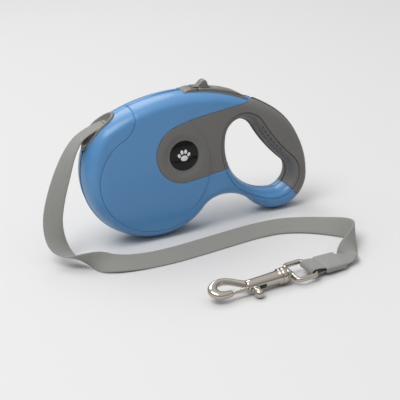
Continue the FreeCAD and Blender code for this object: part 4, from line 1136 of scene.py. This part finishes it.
def build_snap():
    """The hook's bar and barrel, a near-black strip on the barrel that paints the shade in its
    slot, and the bolt with its knob.
    """
    rows = smooth_rows(HOOK_ROWS, 10)
    hook = swept("hook_bar", rows[:, :2], rows[:, 2:], SNAP)
    dress(hook, "hook", nickel, "nickel", "snap_hook")
    dress(turned("snap_barrel", BARREL, SNAP), "hook", nickel, "nickel")
    # painted shade of the barrel's slot: a near-black strip that lies on the barrel, not a cut
    rings = []
    for x in (-29.4, -29.0, -17.6, -17.2):
        radius = 4.4 + 0.5 * (x + 28) / 21  # the barrel's taper
        lift = -0.2 if x in (-29.4, -17.2) else 0.05
        arc = unit(np.linspace(-SLOT_ANGLE, SLOT_ANGLE, 9)) * (radius + lift)
        ring = [(x, -c, s) for c, s in arc] + [(x, -c * 0.9, s * 0.9) for c, s in arc[::-1]]
        rings.append([SNAP @ Vector(p) for p in ring])
    dress(lofted("snap_slot_shade", rings), "hook", painted_shade, "nickel")
    bolt = Matrix.Translation((0, BOLT_OFFSET, 0))
    dress(turned("bolt_rod", ROD, SNAP @ bolt), "bolt", nickel, "nickel", "snap_bolt")
    stand = Matrix.Translation((KNOB_X, 0, 0)) @ spun(-90, "Z")
    dress(turned("bolt_knob", KNOB, SNAP @ stand, 50), "bolt", nickel, "nickel")


def build_eye():
    """A rounded square of wire, its hub and the stem that turns in the barrel."""
    corners = [(EYE_LENGTH, -EYE_SIDE, 270), (EYE_LENGTH, EYE_SIDE, 0),
               (EYE_BASE, EYE_SIDE, 90), (EYE_BASE, -EYE_SIDE, 180)]
    path = []
    for x, y, start in corners:
        centre = pair(x, y) - EYE_BEND * pair(1 if x == EYE_LENGTH else -1, np.sign(y))
        path += list(centre + EYE_BEND * unit(np.linspace(start, start + 90, 9)))
    path = np.array(path)
    sections = [(EYE_WIRE, EYE_WIRE)] * len(path)
    eye = swept("swivel_eye_bar", path, sections, EYE, closed=True)
    dress(eye, "casing", nickel, "nickel", "swivel_eye")
    dress(turned("swivel_eye_hub", EYE_HUB, EYE), "casing", nickel, "nickel")
    dress(turned("swivel_eye_stem", EYE_STEM, EYE), "casing", nickel, "nickel")


def build_sleeve():
    """The fold of tape round the eye's bar and the moulded sleeve that clamps it."""
    bend = EYE_WIRE + 0.3 + TAPE_THICKNESS / 2
    tail = LOOP_LENGTH + 1.0
    upper = [(tail, 1.3), (tail - 2.5, 1.6), (tail - 5.5, 2.2)]
    fold = [(-0.6 + bend * c, bend * s) for c, s in unit(np.linspace(90, 270, 13))]
    side = upper + fold + [(x, -z) for x, z in upper[::-1]]
    side = smooth_rows(side, 4)
    points = np.array([END @ Vector((x, 0, z)) for x, z in side])
    across = np.array(END.to_3x3() @ Vector((0, 1, 0)))
    strip = tape_strip("folded_tape", points, np.tile(across, (len(points), 1)))
    dress(strip, "casing", woven, "tape_fabric", "tape_loop")
    start, end = LOOP_LENGTH, LOOP_LENGTH + SLEEVE_LENGTH
    rings = []
    for x, inset in ((start, 0.9), (start + 0.15, 0.45), (start + 0.6, 0.1), (start + 1.4, 0),
                     (end - 1.2, 0), (end - 0.5, 0.1), (end - 0.1, 0.5), (end, 0.9)):
        section = oval(SLEEVE_HALF - inset, 2.5 - inset, 5, 48)
        rings.append([END @ Vector((x, u, v)) for u, v in section])
    dress(lofted("clamp_sleeve", rings, sharp=50), "casing", sleeve_grey, "sleeve_plastic",
          "tape_sleeve")
    # a near-black oval at the sleeve's open end: painted shade inside its mouth
    rings = [[END @ Vector((x, u, v)) for u, v in oval(8.1, 1.75, 5)]
             for x in (start - 0.06, start + 0.5)]
    dress(lofted("sleeve_mouth_shade", rings), "casing", painted_shade, "sleeve_plastic")


build_snap()
build_eye()
build_sleeve()

# %% [markdown]
# ## Materials of the CAD nodes
#
# The nodes that keep their CAD meshes are inside the casing or plain turned pieces of metal.

# %%
NODE_MATERIALS = {
    "reel_hub": natural, "reel_flange": natural, "spring_case": natural,
    "wound_tape": woven, "inner_tape": woven,
}


def paint_cad_nodes():
    """Every CAD node gets a procedural material."""
    for name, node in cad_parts.items():
        node.data.materials.clear()
        node.data.materials.append(NODE_MATERIALS.get(name, steel))


paint_cad_nodes()

# %% [markdown]
# ## Floor, light and camera
#
# The leash lies on a plain pale table. The light comes from two large soft lamps and a room
# that is brighter overhead than at the horizon.

# %%
BACKGROUND = (0.64, 0.635, 0.635)
HORIZON_LIGHT, ZENITH_LIGHT = 0.2, 0.9
LAMP_SIZE = 1100
CAMERA_PLACE = Vector((-305.99, -796.92, 340.31))
CAMERA_AZIMUTH, CAMERA_ELEVATION, CAMERA_LEAN = -21.08, 20.62, 4.83


def build_stage():
    """The floor, which also fills the background."""
    side = 4000.0
    floor = new_object("table", [(-side, -side, 0), (side, -side, 0), (side, side, 0),
                                 (-side, side, 0)], [(0, 1, 2, 3)], smooth=False)
    material = finish_material("table", BACKGROUND, 0.9, grain=0.02)
    floor.data.materials.append(material)


def area_light(name, place, target, size, power):
    """A round soft lamp that faces its target."""
    light = bpy.data.lights.new(name, "AREA")
    light.shape = "DISK"
    light.size = size * MM
    light.energy = power
    holder = link_in(name, light)
    place, target = Vector(place) * MM, Vector(target) * MM
    holder.matrix_world = (Matrix.Translation(place)
                           @ (place - target).to_track_quat("Z", "Y").to_matrix().to_4x4())


def build_light():
    """The room's light and the two lamps."""
    world = bpy.data.worlds.new("soft room")
    world.use_nodes = True
    tree = world.node_tree
    place = add_node(tree, "TexCoord", {})
    place = add_node(tree, "SeparateXYZ", {"Vector": place.outputs["Generated"]})
    strength = add_node(tree, "MapRange", {"To Min": HORIZON_LIGHT, "To Max": ZENITH_LIGHT,
                                           "Value": place.outputs["Z"]})
    set_inputs(tree, tree.nodes["Background"], {"Color": (1, 1, 1, 1),
                                                "Strength": strength.outputs["Result"]})
    bpy.context.scene.world = world
    middle = (0, -40, 50)
    area_light("key", (-700, -400, 1500), middle, LAMP_SIZE, 15)
    area_light("back", (0, 1100, 1300), middle, LAMP_SIZE, 9)


def build_camera():
    """The camera looks down at the leash from the front left and leans a few degrees."""
    lens = bpy.data.cameras.new("camera")
    lens.lens = 103.85
    lens.sensor_width = 36
    lens.clip_start = 0.05
    lens.clip_end = 20
    camera = link_in("camera", lens)
    camera.matrix_world = (Matrix.Translation(CAMERA_PLACE * MM) @ spun(CAMERA_AZIMUTH, "Z")
                           @ spun(90 - CAMERA_ELEVATION, "X") @ spun(-CAMERA_LEAN, "Z"))
    bpy.context.scene.camera = camera


def set_render():
    """A square picture with plain colours."""
    scene = bpy.context.scene
    scene.render.resolution_x = 400
    scene.render.resolution_y = 400
    scene.view_settings.view_transform = "Standard"
    scene.view_settings.look = "None"


build_stage()
build_light()
build_camera()
set_render()
